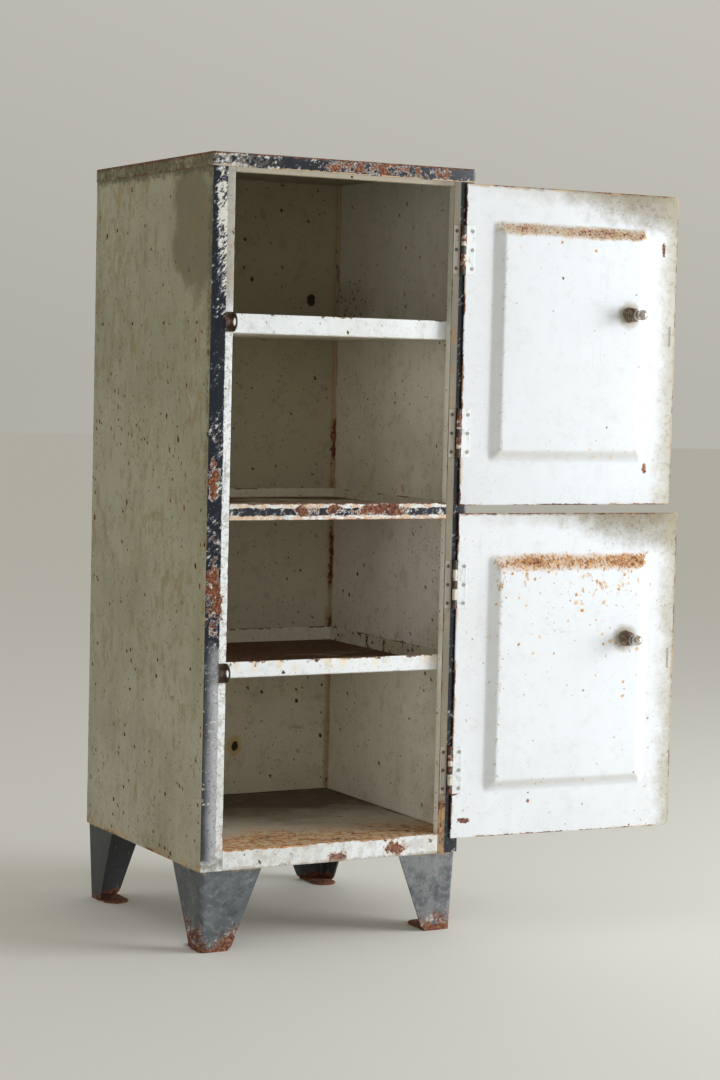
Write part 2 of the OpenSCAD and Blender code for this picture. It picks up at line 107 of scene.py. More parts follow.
SMOOTH_ANGLE = 38


# ---------------------------------------------------------------- material graphs


class Field:
    """A number that varies over a surface. Arithmetic on fields adds math nodes to their graph."""

    def __init__(self, graph, socket):
        self.graph = graph
        self.socket = socket

    def __add__(self, other):
        return self.graph.math("ADD", self, other)

    def __sub__(self, other):
        return self.graph.math("SUBTRACT", self, other)

    def __rsub__(self, other):
        return self.graph.math("SUBTRACT", other, self)

    def __mul__(self, other):
        return self.graph.math("MULTIPLY", self, other)

    def __truediv__(self, other):
        return self.graph.math("DIVIDE", self, other)

    __radd__ = __add__
    __rmul__ = __mul__

    def abs(self):
        return self.graph.math("ABSOLUTE", self)

    def least(self, other):
        return self.graph.math("MINIMUM", self, other)

    def most(self, other):
        return self.graph.math("MAXIMUM", self, other)


class Graph:
    """A material under construction, with coordinates of the row frame at rest.

    wrap is 1 where spots run round corners, and 0 on a surface that only faces front or back."""

    def __init__(self, name, wrap=1.0):
        self.wrap = wrap
        self.material = bpy.data.materials.new(name)
        self.material.use_nodes = True
        self.tree = self.material.node_tree
        self.tree.nodes.clear()
        coordinates = self.add("ShaderNodeTexCoord")
        self.place = coordinates.outputs["Object"]
        self.x, self.y, self.z = self.split(self.place)
        self.nx, self.ny, self.nz = self.split(coordinates.outputs["Normal"])
        self.unrolled = None

    def add(self, kind, **settings):
        made = self.tree.nodes.new(kind)
        for key, value in settings.items():
            setattr(made, key, value)
        return made

    def plug(self, socket, value):
        if isinstance(value, Field):
            value = value.socket
        if isinstance(value, bpy.types.NodeSocket):
            self.tree.links.new(value, socket)
        elif isinstance(value, (tuple, list)) and socket.type == "RGBA":
            socket.default_value = (*value[:3], 1)
        else:
            socket.default_value = value

    def split(self, vector):
        made = self.add("ShaderNodeSeparateXYZ")
        self.plug(made.inputs[0], vector)
        return [Field(self, s) for s in made.outputs]

    def math(self, operation, *values):
        made = self.add("ShaderNodeMath", operation=operation)
        for socket, value in zip(made.inputs, values):
            self.plug(socket, value)
        return Field(self, made.outputs[0])

    def ramp(self, value, low, high):
        """0 below low and 1 above high, smooth between them."""
        made = self.add("ShaderNodeMapRange", interpolation_type="SMOOTHSTEP")
        self.plug(made.inputs["Value"], value)
        self.plug(made.inputs["From Min"], low)
        self.plug(made.inputs["From Max"], high)
        return Field(self, made.outputs["Result"])

    def fade(self, value, low, high):
        """1 below low and 0 above high, smooth between them."""
        return 1 - self.ramp(value, low, high)

    def facing(self, normal, low=0.4, high=0.7):
        """1 on faces that look along an axis, given the part of the normal along it."""
        return self.ramp(normal, low, high)

    def band(self, value, low, high, soft):
        """1 between low and high, fading to 0 over soft at each side."""
        return self.ramp(value, low - soft, low + soft) * self.fade(value, high - soft, high + soft)

    def blots(self, scale, low, high, detail=5, roughness=0.7, **more):
        """Ragged blots: noise that is cut off below low and full above high."""
        return self.ramp(self.noise(scale, detail, roughness, **more), low, high)

    def place_distance(self, u, v, centre, reach):
        """Squared distance from centre, with the half-widths reach as its units."""
        du = (u - centre[0]) / reach[0]
        dv = (v - centre[1]) / reach[1]
        return du * du + dv * dv

    def gather(self, u, v, scabs, least=-1.2):
        """A field that rises inside scabs, each (u, v, half-width in u, half-width in v, strength, fall)."""
        near = [s[4] - self.place_distance(u, v, s[:2], s[2:4]) * s[5] for s in scabs]
        for other in near[1:]:
            near[0] = near[0].most(other)
        return near[0].most(least)

    def stretched(self, stretch, seed):
        made = self.add("ShaderNodeVectorMath", operation="MULTIPLY_ADD")
        self.plug(made.inputs[0], self.place)
        made.inputs[1].default_value = stretch
        made.inputs[2].default_value = (seed * 0.37, seed * 0.61, seed * 0.83)
        return made.outputs[0]

    def noise(self, scale, detail=3.0, roughness=0.6, stretch=(1, 1, 1), seed=0.0):
        """Fractal noise, about 0.3 to 0.7, with scale waves to the metre."""
        made = self.add("ShaderNodeTexNoise")
        self.plug(made.inputs["Vector"], self.stretched(stretch, seed))
        made.inputs["Scale"].default_value = scale
        made.inputs["Detail"].default_value = detail
        made.inputs["Roughness"].default_value = roughness
        return Field(self, made.outputs["Fac"])

    def wobble(self, size, *noise, **more):
        """Noise about nought, to make a distance ragged by some part of size."""
        return (self.noise(*noise, **more) - 0.5) * size

    def slanted_noise(self, scale, detail, roughness, seed=0.0):
        """Noise drawn out along a slant of 45 degrees, as scuffs on an upright face are."""
        joined = self.add("ShaderNodeCombineXYZ")
        for socket, value in zip(joined.inputs, ((self.x + self.z) * 0.45, self.x - self.z, self.y)):
            self.plug(socket, value)
        made = self.add("ShaderNodeTexNoise", noise_dimensions="4D")
        self.plug(made.inputs["Vector"], joined.outputs[0])
        for name, value in (("Scale", scale), ("Detail", detail), ("Roughness", roughness), ("W", seed)):
            made.inputs[name].default_value = value
        return Field(self, made.outputs["Fac"])

    def dots(self, spacing, radius, chance, seed=0.0, tall=1.0):
        """Scattered spots, and a random tone for each. A spot is 1 in its middle and 0 at its rim.

        Spacing and the largest radius are in metres, chance is the share of places that hold a spot, and tall
        is the height of a spot over its width."""
        if self.unrolled is None:
            wave = self.add("ShaderNodeTexNoise")
            self.plug(wave.inputs["Vector"], self.place)
            wave.inputs["Scale"].default_value = 330
            wave.inputs["Detail"].default_value = 3
            self.unrolled = (
                self.x + self.y * self.wrap + Field(self, wave.outputs["Fac"]) * 0.008,
                self.z + (self.x - self.y) * (0.3 * self.wrap) + self.split(wave.outputs["Color"])[1] * 0.008,
            )
        across, up = self.unrolled
        joined = self.add("ShaderNodeCombineXYZ")
        self.plug(joined.inputs[0], across + seed * 0.37)
        self.plug(joined.inputs[1], up * (1 / tall) + seed * 0.61)
        made = self.add("ShaderNodeTexVoronoi", voronoi_dimensions="2D")
        self.plug(made.inputs["Vector"], joined.outputs[0])
        made.inputs["Scale"].default_value = 1 / spacing
        luck, size, tone = self.split(made.outputs["Color"])
        reach = (0.25 + 0.75 * size * size) * (radius / spacing)
        held = self.math("GREATER_THAN", luck, 1 - chance)
        return held * self.fade(Field(self, made.outputs["Distance"]), 0, reach), tone

    def patch(self, u, v, centre, reach, seed=0.0, ragged=1.6, scale=42, soft=0.1):
        """1 inside a ragged patch round centre, with half-widths reach, fading out over soft of its size."""
        rag = self.wobble(2 * ragged, scale, 5, 0.7, seed=seed)
        return self.fade(self.place_distance(u, v, centre, reach) + rag, 1 - soft, 1 + soft)

    def edge(self, distance, width, seed=0.0, ragged=3.0, scale=75, run=1.0, soft=0.3):
        """1 in a ragged strip along an edge, given the distance to it, for a share run of its length."""
        rag = self.wobble(2 * ragged * width, scale, 5, 0.7, seed=seed)
        strip = self.fade(distance + rag, width * (1 - soft), width)
        if run < 1:
            strip = strip * self.blots(15, 0.62 - 0.25 * run, 0.66 - 0.25 * run, 4, 0.65, seed=seed + 0.5)
        return strip

    def mix(self, a, b, share):
        made = self.add("ShaderNodeMix", data_type="RGBA")
        factor, first, second = made.inputs[0], made.inputs[6], made.inputs[7]
        for socket, value in ((factor, share), (first, a), (second, b)):
            self.plug(socket, value)
        return made.outputs[2]

    def palette(self, value, stops):
        """Colours along a value: stops are (position, colour)."""
        made = self.add("ShaderNodeValToRGB")
        ramp = made.color_ramp
        while len(ramp.elements) < len(stops):
            ramp.elements.new(0.5)
        for element, (position, colour) in zip(ramp.elements, stops):
            element.position = position
            element.color = (*colour, 1)
        self.plug(made.inputs["Fac"], value)
        return made.outputs["Color"]


# Colours, as linear light
RED_RUST = (
    (0.34, (0.024, 0.01, 0.008)),
    (0.45, (0.115, 0.037, 0.021)),
    (0.56, (0.24, 0.09, 0.045)),
    (0.68, (0.42, 0.21, 0.115)),
)
FRESH_RUST = (
    (0.34, (0.1, 0.036, 0.013)),
    (0.45, (0.34, 0.13, 0.036)),
    (0.56, (0.57, 0.285, 0.095)),
    (0.68, (0.74, 0.47, 0.22)),
)
STAIN = (0.6, 0.33, 0.11)
DIRT = (0.17, 0.145, 0.1)
WHITE_ENAMEL = (0.8, 0.835, 0.86)
SIDE_ENAMEL = (0.47, 0.458, 0.315)
CREAM_ENAMEL = (0.72, 0.67, 0.56)
BLACK_ENAMEL = (0.011, 0.014, 0.023)
PRIMER = (0.66, 0.64, 0.59)
WORN_METAL = (0.17, 0.185, 0.21)
SLATE = (0.088, 0.1, 0.11)


class Coat:
    """The look of one surface, built up in layers from the base outwards. Heights are in millimetres."""

    def __init__(self, graph, colour, roughness, metal=0.0):
        self.graph = graph
        self.colour = colour
        self.roughness = roughness
        self.metal = metal
        self.height = 0.0

    def over(self, old, new, share):
        return share * (new - old) + old

    def lay(self, share, colour=None, roughness=None, metal=None, height=None):
        """Covers the surface with a layer where share is 1."""
        if colour is not None:
            self.colour = self.graph.mix(self.colour, colour, share)
        if roughness is not None:
            self.roughness = self.over(self.roughness, roughness, share)
        if metal is not None:
            self.metal = self.over(self.metal, metal, share)
        if height is not None:
            self.height = share * height + self.height

    def rust(self, share, stops=RED_RUST, seed=0.0, depth=-0.12):
        """Scaly rust that has eaten through the enamel."""
        g = self.graph
        scale = g.noise(210, 6, 0.68, seed=seed)
        self.lay(share, g.palette(scale, stops), 0.88, 0.0, depth)
        self.height = share * ((scale - 0.5) * 0.5) + self.height

    def stain(self, share, colour=STAIN, roughness=0.6):
        """A thin film over the enamel, such as a rust run or dirt."""
        self.lay(share, colour, roughness)

    def specks(self, spacing, radius, chance, seed, halo=0.5, tall=1.0):
        """Pinholes of rust with a stained rim round each."""
        g = self.graph
        spot, tone = g.dots(spacing, radius, chance, seed, tall)
        self.stain(g.ramp(spot, 0.0, 0.45) * halo, STAIN)
        colour = g.mix((0.035, 0.02, 0.012), (0.27, 0.1, 0.035), g.ramp(tone, 0.35, 0.95))
        self.lay(g.ramp(spot, 0.3, 0.5), colour, 0.85, height=-0.08)

    def black_trim(self, share, chips=0.5, rusty=0.3, seed=0.0):
        """Black enamel over the white, scuffed to primer in slanting chips. chips runs from 0 to 1."""
        g = self.graph
        self.lay(share, BLACK_ENAMEL, 0.26, height=0.05)
        fine = g.slanted_noise(170, 5, 0.74, seed + 11)
        blotch = g.noise(48, 5, 0.7, seed=seed + 12)
        wear = fine * 0.55 + blotch * 0.45 + chips * 0.17
        self.lay(share * g.ramp(wear, 0.56, 0.6) * 0.7, WORN_METAL, 0.45)
        self.lay(share * g.ramp(wear, 0.605, 0.622), PRIMER, 0.55, height=-0.1)
        bare = g.noise(26, 6, 0.72, seed=seed + 13)
        self.rust(share * g.ramp(bare, 0.7 - 0.16 * rusty, 0.72 - 0.16 * rusty), seed=seed)

    def finish(self, ior=1.5):
        """Sets the shader and returns the material."""
        g = self.graph
        shader = g.add("ShaderNodeBsdfPrincipled")
        bump = g.add("ShaderNodeBump")
        out = g.add("ShaderNodeOutputMaterial")
        bump.inputs["Strength"].default_value = 0.8
        bump.inputs["Distance"].default_value = MM
        shader.inputs["IOR"].default_value = ior
        g.plug(bump.inputs["Height"], self.height)
        g.plug(shader.inputs["Base Color"], self.colour)
        g.plug(shader.inputs["Roughness"], self.roughness)
        g.plug(shader.inputs["Metallic"], self.metal)
        g.plug(shader.inputs["Normal"], bump.outputs["Normal"])
        g.plug(out.inputs["Surface"], shader.outputs["BSDF"])
        return g.material


def aged_enamel(g, colour, dirt=1.0, rusty=1.0, seed=0.0):
    """Old stove enamel: slow waves, mottled dirt, fine scratches and pinholes of rust."""
    coat = Coat(g, colour, 0.3)
    broad = g.noise(4.5, 4, 0.6, seed=seed)
    coat.height = g.noise(7, 1, 0.4, seed=seed + 1) * 1.6 + g.noise(900, 2, 0.6, seed=seed) * 0.02
    coat.lay(g.ramp(broad, 0.45, 0.7) * (0.38 * dirt), (0.42, 0.38, 0.25), 0.5)
    mottle = g.noise(46, 5, 0.72, seed=seed + 2)
    coat.lay(g.ramp(mottle, 0.5, 0.72) * (0.36 * dirt), DIRT, 0.62)
    runs = g.noise(34, 3, 0.6, stretch=(1, 1, 0.07), seed=seed + 3)
    coat.lay(g.ramp(runs, 0.53, 0.74) * (0.1 * dirt), (0.36, 0.34, 0.27), 0.5)
    scratch = g.noise(300, 1, 0.4, stretch=(1, 1, 0.035), seed=seed + 4)
    worn = g.blots(9, 0.5, 0.62, 2, 0.6, seed=seed + 5)
    coat.lay(g.ramp(scratch, 0.7, 0.74) * worn * (0.4 * dirt), (0.2, 0.19, 0.16), 0.6, height=-0.03)
    clusters = g.blots(7, 0.44, 0.6, 3, 0.6, seed=seed + 6) * 0.7 + 0.3
    grit = g.noise(330, 3, 0.6, seed=seed + 7) + clusters * 0.03
    coat.lay(g.ramp(grit, 0.65, 0.685) * (0.55 * dirt), (0.13, 0.1, 0.065), 0.7)
    coat.specks(0.024, 0.0055, clusters * (0.22 * rusty), seed + 0.1, 0.4)
    coat.specks(0.01, 0.0024, clusters * (0.36 * rusty), seed + 0.2, 0.3)
    return coat


def outer_enamel():
    """The outside of the side panels: olive grey, lighter below, with a brown film near the top front."""
    g = Graph("outer_enamel")
    from_front = g.y - FRONT
    from_back = BACK - g.y
    lighter = g.fade(g.z + g.wobble(0.4, 5, 3), 0.12, 0.62)
    coat = aged_enamel(g, g.mix(SIDE_ENAMEL, (0.5, 0.475, 0.355), lighter), 1.0, 1.25, seed=2)
    cloud = g.blots(3.2, 0.46, 0.66, 5, 0.66, seed=19)
    coat.stain(cloud * 0.34, (0.235, 0.215, 0.12), 0.6)
    columns = g.noise(16, 5, 0.68, stretch=(1, 1, 0.25), seed=23)
    coat.stain(g.ramp(columns, 0.48, 0.66) * 0.3, (0.27, 0.235, 0.115), 0.55)
    film = g.patch(from_front, g.z, (0.06, 1.11), (0.085, 0.105), seed=5, ragged=1.1, scale=11, soft=0.35)
    coat.stain(film * 0.7, (0.15, 0.138, 0.075), 0.6)
    ochre = g.noise(62, 5, 0.76, stretch=(1, 1, 0.55), seed=26) + g.noise(6, 3, seed=27) * 0.35
    coat.stain(g.ramp(ochre, 0.7, 0.8) * 0.55, (0.32, 0.225, 0.08), 0.6)
    # Orange runs of rust, in a cluster and along both upright edges
    cluster = g.patch(g.y, g.z, (0.02, 0.81), (0.17, 0.085), seed=24, ragged=0.8, scale=14, soft=0.9)
    near = g.fade(from_front.least(from_back), 0.01, 0.05) * 0.6
    where = cluster.most(near) * 0.36 + 0.015
    coat.specks(0.015, 0.0058, where, 5.3, 0.85, tall=1.6)
    coat.specks(0.021, 0.0062, g.fade(g.z, 0.16, 0.5) * 0.22 + 0.04, 3.3, 0.6)
    coat.rust(g.edge(g.z - BODY_BOTTOM, 3.0 * MM, seed=7, ragged=5, run=0.35), seed=6)
    coat.stain(g.edge(g.z - BODY_BOTTOM, 9 * MM, seed=6, ragged=3, run=0.6) * 0.4)
    coat.rust(g.edge(from_back, 1.8 * MM, seed=8, ragged=4, run=0.6), seed=7)
    coat.stain(g.edge(LID_LOW.z - g.z, 12 * MM, seed=4, ragged=2.0, soft=0.9) * 0.75, (0.1, 0.085, 0.045))
    grime = g.edge(from_front, 20 * MM, seed=41, ragged=1.1, scale=34, soft=0.9) * g.ramp(g.z, 0.45, 1.0)
    coat.stain(grime * g.blots(130, 0.38, 0.56, 5, 0.74, seed=42) * 0.8, (0.11, 0.1, 0.055), 0.7)
    return coat.finish()


def inner_enamel():
    """The inside of the side panels: cream, painted darker towards the back and the top as shade, with a
    yellowed seam at the back and rust above two shelves.
    """
    g = Graph("inner_enamel")
    from_back = BACK - g.y
    # Painted shade: the cream is darker towards the back, where less light reaches, and lighter towards the
    # opening.
    forward = g.ramp(from_back + g.wobble(0.2, 6, 3, seed=2), 0.02, 0.34)
    coat = aged_enamel(g, g.mix(CREAM_ENAMEL, (0.93, 0.9, 0.82), forward), 0.8, 1.3, seed=3)
    seam = g.edge(from_back, 9 * MM, seed=9, ragged=1.2, scale=30, soft=0.8)
    coat.stain(seam * 0.75, (0.36, 0.21, 0.07))
    coat.rust(g.edge(from_back, 4.5 * MM, seed=10, ragged=3.0, scale=40, run=0.45), seed=8)
    smear = g.patch(g.y - FRONT, g.z, (0.41, 1.012), (0.075, 0.032), seed=15, ragged=1.0, scale=30, soft=0.9)
    coat.stain(smear * 0.35, (0.2, 0.15, 0.08), 0.8)
    splash, _ = g.dots(0.009, 0.0055, smear * 0.6, seed=36)
    coat.stain(g.ramp(splash, 0.1, 0.4) * 0.85, (0.06, 0.042, 0.025), 0.8)
    # Painted shade: the inner walls are darkened towards the top, under the lid.
    coat.stain(g.ramp(g.z, 0.86, 1.05) * 0.42, (0.3, 0.29, 0.2))
    for top in STAINED_TRAYS:
        drip = g.blots(55, 0.56, 0.64, 4, 0.65, stretch=(1, 1, 0.35), seed=top)
        coat.stain(drip * g.band(g.z, top + 0.022, top + 0.036, 0.006) * 0.7)
    return coat.finish()


def left_stile_enamel():
    """The left stile: a white strip by the opening and black trim by the corner, scuffed, rubbed and rusted,
    with a painted highlight on the rubbed black low down.
    """
    g = Graph("left_stile_enamel")
    to_corner = g.x - LEFT
    upper = g.ramp(g.z + g.wobble(0.12, 12, 3, seed=29), 0.94, 1.02)
    coat = aged_enamel(g, g.mix(WHITE_ENAMEL, (0.4, 0.375, 0.34), upper), 1.0, 1.0, seed=2)
    coat.stain(g.blots(120, 0.5, 0.6, 5, 0.74, seed=35) * 0.55, (0.3, 0.26, 0.2))
    foot = g.ramp(g.z + g.wobble(0.03, 45, 4, seed=28), BODY_BOTTOM + 0.014, BODY_BOTTOM + 0.026)
    coat.stain((1 - foot) * g.blots(80, 0.38, 0.58, seed=31) * 0.8, (0.2, 0.19, 0.15))
    ragged = g.wobble(5 * MM, 150, 5, 0.75, seed=36)
    trim = foot * g.fade(to_corner + ragged, BLACK_TRIM - 0.6 * MM, BLACK_TRIM + 0.6 * MM)
    inner_half = g.ramp(to_corner, 6 * MM, 13 * MM)
    middle = g.fade(g.z, 0.8, 0.88)
    coat.black_trim(trim, upper * inner_half * 0.56 + middle * 0.25 + upper * 0.12, 0.15)
    # Below the lower eye the black is rubbed grey, with a painted highlight that is palest towards the opening,
    # standing for light from the right on a rounded fold
    rubbed = g.fade(g.z + g.wobble(0.22, 16, 4, seed=15), 0.4, 0.5)
    wobble = g.wobble(16 * MM, 30, 4, 0.7, stretch=(1, 1, 0.3), seed=37)
    rub_and_highlight = g.mix((0.045, 0.05, 0.06), (0.44, 0.44, 0.47), g.ramp(to_corner + wobble, 3 * MM, 21 * MM))
    coat.lay(trim * rubbed * 0.95, rub_and_highlight, 0.36, 0.1, -0.04)
    coat.lay(trim * rubbed * g.blots(260, 0.54, 0.64, 4, seed=38) * 0.6, (0.07, 0.075, 0.08), 0.5)
    coat.lay(trim * rubbed * g.blots(120, 0.605, 0.625, 5, 0.72, seed=16), PRIMER, 0.6)
    # Rust that has spread from the corner, with torn rims of primer and bare metal
    torn = g.noise(46, 6, 0.72, seed=39)
    wide = (10 * MM, 0.73, 11 * MM, 0.038, 1, 0.9)
    chain = (14 * MM, 0.553, 15 * MM, 0.062, 0.92, 0.55)
    spot = (5 * MM, 1.157, 4 * MM, 0.012, 0.9, 1)
    rust = g.gather(to_corner, g.z, (wide, chain, spot)) * 0.16 + torn
    shed = g.noise(80, 5, 0.74, seed=40)
    rim = g.mix(WORN_METAL, PRIMER, g.ramp(shed, 0.44, 0.54))
    coat.lay(g.ramp(rust + (shed - 0.5) * 0.12, 0.575, 0.595) * 0.9, rim, 0.55)
    coat.rust(g.ramp(rust, 0.6, 0.612), seed=39, depth=-0.2)
    coat.rust(g.edge(STILE_L - g.x, 1.0 * MM, seed=18, ragged=4, run=0.4), seed=9)
    coat.rust(g.edge(to_corner, 1.2 * MM, seed=19, ragged=4, run=0.4), seed=10)
    return coat.finish(ior=1.35)


def right_stile_enamel():
    """The right stile: a grimy strip by the opening, painted dark grey as the shadow of the open door, rusty
    near the floor, and black trim behind the doors.
    """
    g = Graph("right_stile_enamel")
    # The strip's dark grey base is painted shade: the shadow that the open door casts on it.
    coat = aged_enamel(g, (0.21, 0.19, 0.145), 1.0, 1.0, seed=2)
    to_corner = RIGHT - g.x
    coat.stain(g.blots(14, 0.5, 0.62, seed=25) * 0.8, (0.26, 0.16, 0.08))
    low = g.fade(g.z + g.wobble(0.25, 22, 4, seed=26), 0.24, 0.3)
    coat.stain(low * g.blots(50, 0.4, 0.54, seed=32) * 0.8, (0.42, 0.26, 0.09))
    coat.rust(low * g.blots(60, 0.52, 0.57, seed=27), seed=12)
    trim = g.fade(to_corner, BLACK_TRIM - 0.6 * MM, BLACK_TRIM + 0.6 * MM)
    coat.black_trim(trim, 0.1, 0.2)
    coat.rust(g.edge(g.x - STILE_R, 1.0 * MM, seed=18, ragged=4, run=0.4), seed=9)
    return coat.finish()


def lid_enamel():
    """The lid: black trim on its front lip, brown grime on its sides, worn enamel and rust on top."""
    g = Graph("lid_enamel")
    coat = aged_enamel(g, (0.37, 0.345, 0.2), 1.2, 1.4, seed=7)
    lip = g.z - LID_LOW.z
    forward = g.facing(g.ny * -1)
    upward = g.facing(g.nz, 0.6, 0.9)
    inside = g.facing(g.nz * -1, 0.5, 0.8)
    sideways = (1 - upward) * (1 - forward) * (1 - inside)
    coat.lay(inside, (0.26, 0.23, 0.15))
    coat.lay(upward, (0.52, 0.5, 0.42))
    coat.stain(g.blots(11, 0.46, 0.62, seed=3) * upward * 0.6, (0.3, 0.22, 0.13), 0.75)
    coat.rust(g.blots(15, 0.6, 0.63, 6, seed=5) * upward, seed=1)
    coat.stain(g.blots(30, 0.38, 0.56, seed=6) * sideways * 0.75, (0.12, 0.095, 0.045))
    coat.stain(g.blots(120, 0.5, 0.6, 5, 0.75, seed=16) * sideways * 0.75, (0.06, 0.045, 0.025), 0.7)
    drop = LID_HIGH.z - g.z
    brown = g.edge(drop, 9 * MM, seed=15, ragged=1.5, soft=0.9) * sideways
    coat.stain(brown * 0.7, (0.13, 0.075, 0.035))
    coat.rust(g.edge(drop, 4.0 * MM, seed=7, ragged=3, run=0.9) * sideways, seed=3)
    coat.rust(g.edge(lip, 2.2 * MM, seed=6, ragged=3, run=0.7) * sideways, seed=2)
    # The front lip: mostly primer at the left end, black with chips along its edges, brown rust at the right
    left_end = g.fade(g.x + g.wobble(0.1, 30, 4, seed=8), LEFT + 0.03, LEFT + 0.13)
    edges = 1 - g.band(lip, 5 * MM, 15 * MM, 4 * MM)
    coat.black_trim(forward, left_end * 0.4 + edges * 0.28, 0.2, seed=4)
    coat.stain(forward * left_end * g.blots(90, 0.48, 0.58, seed=13) * 0.6, (0.22, 0.18, 0.13))
    wide, narrow = (0.055, 10 * MM, 0.085, 13 * MM, 0.95, 0.6), (0.165, 12 * MM, 0.02, 10 * MM, 0.9, 0.8)
    torn = g.noise(55, 6, 0.72, seed=14) + g.gather(g.x, lip, (wide, narrow)) * 0.15
    coat.lay(g.ramp(torn, 0.575, 0.59) * forward * 0.8, PRIMER, 0.6)
    coat.rust(g.ramp(torn, 0.595, 0.607) * forward, seed=4)
    coat.rust(g.edge(drop, 3.0 * MM, seed=10, ragged=1.6, run=0.9) * forward, seed=5)
    coat.stain(g.edge(lip, 2.2 * MM, seed=11, ragged=2.0, run=0.7) * forward * 0.8, (0.6, 0.42, 0.26))
    return coat.finish()


def rail_enamel():
    """The middle rail: white where the doors overlap it, black between, and badly rusted."""
    g = Graph("rail_enamel")
    coat = aged_enamel(g, WHITE_ENAMEL, 1.2, 1.2, seed=12)
    forward = g.facing(g.ny * -1)
    coat.stain(forward * g.blots(85, 0.44, 0.58, seed=6) * 0.75, (0.62, 0.36, 0.18))
    wobble = g.wobble(9 * MM, 75, 5, 0.7, seed=2)
    bare = g.band(g.z + wobble, RAIL_LOW.z + 6.5 * MM, RAIL_HIGH.z - 7 * MM, 0.4 * MM) * forward
    coat.black_trim(bare, 0.28, 0.2, seed=9)
    drop = RAIL_HIGH.z - g.z
    left = (-0.06, 11 * MM, 0.022, 10 * MM, 1, 0.8)
    right = (0.07, 9 * MM, 0.062, 10 * MM, 1, 0.8)
    middle = (-0.012, 11 * MM, 0.012, 10 * MM, 0.9, 0.8)
    torn = g.noise(60, 6, 0.72, seed=13) + g.gather(g.x, drop, (left, right, middle)) * 0.22
    coat.lay(g.ramp(torn, 0.56, 0.575) * forward, PRIMER, 0.6)
    coat.rust(g.ramp(torn, 0.585, 0.597) * forward, seed=6, depth=-0.2)
    coat.rust(g.edge(g.z - RAIL_LOW.z, 1.2 * MM, seed=8, ragged=4, run=0.7) * forward, FRESH_RUST, seed=7)
    coat.rust(g.edge(RAIL_HIGH.z - g.z, 1.4 * MM, seed=9, ragged=4, run=0.8), seed=8)
    return coat.finish()


def shelf_enamel(name, low, high, floor_rust, seed, lip_tone=WHITE_ENAMEL):
    """A tray shelf: white front lip, cream lips and a floor that has rusted by a given amount."""
    g = Graph(name)
    forward = g.facing(g.ny * -1) * g.fade(g.y, low.y + 3 * MM, low.y + 5 * MM)
    lip = g.ramp(low.y + 4 * MM - g.y, 0, 1 * MM)
    coat = aged_enamel(g, g.mix(CREAM_ENAMEL, lip_tone, lip), 0.8, 0.8, seed=seed)
    floor = g.facing(g.nz, 0.6, 0.9) * g.fade(g.z, low.z + 5 * MM, low.z + 6 * MM)
    spread = g.noise(13, 6, 0.72, stretch=(0.35, 1, 1), seed=seed + 3)
    worn = g.ramp(spread, 0.52 - 0.3 * floor_rust, 0.66 - 0.2 * floor_rust)
    coat.stain(floor * worn, (0.2, 0.115, 0.06), 0.8)
    coat.rust(floor * g.ramp(spread + (floor_rust - 0.5) * 0.35, 0.5, 0.6), seed=seed)
    coat.stain(floor * (0.5 * floor_rust), (0.085, 0.048, 0.01), 0.85)
    width = (1.2 + 0.7 * floor_rust) * MM
    drop = high.z - g.z
    run = 0.3 + 0.25 * floor_rust
    coat.rust(g.edge(drop, width, seed=seed + 1, ragged=3, run=run), seed=seed + 1)
    drip = g.noise(48, 4, 0.6, stretch=(1, 1, 0.3), seed=seed + 5)
    down = g.fade(drop, 2 * MM, (10 + 14 * floor_rust) * MM)
    runs = forward * g.ramp(drip, 0.6 - 0.1 * floor_rust, 0.7 - 0.08 * floor_rust) * down
    coat.stain(runs * 0.5, (0.84, 0.6, 0.3))
    scabs = g.noise(60, 5, 0.72, seed=seed + 4) - drop * 16 + 0.04 * floor_rust
    coat.rust(forward * g.ramp(scabs, 0.58, 0.61), seed=seed + 4)
    foot = g.edge(g.z - low.z, 2.4 * MM, seed=seed + 2, ragged=1.5, soft=0.9)
    coat.stain(forward * foot * 0.5, (0.42, 0.31, 0.19))
    # Painted shade: the front lip grows darker over its last few centimetres at the right end.
    right_end_shade = g.ramp(g.x + g.noise(40, 3, seed=seed + 9) * 0.03, high.x - 0.04, high.x)
    coat.stain(forward * right_end_shade * 0.75, (0.17, 0.14, 0.1))
    # Rust that hangs from the lips at the side
    side = g.facing(g.nx.abs(), 0.5, 0.8) * g.blots(48, 0.6 - 0.08 * floor_rust, 0.66, 4, 0.65, seed=seed + 7)
    coat.stain(side * (0.4 + 0.5 * floor_rust), (0.42, 0.22, 0.07))
    coat.rust(g.ramp(side * floor_rust, 0.55, 0.8), seed=seed + 8)
    return coat.finish()


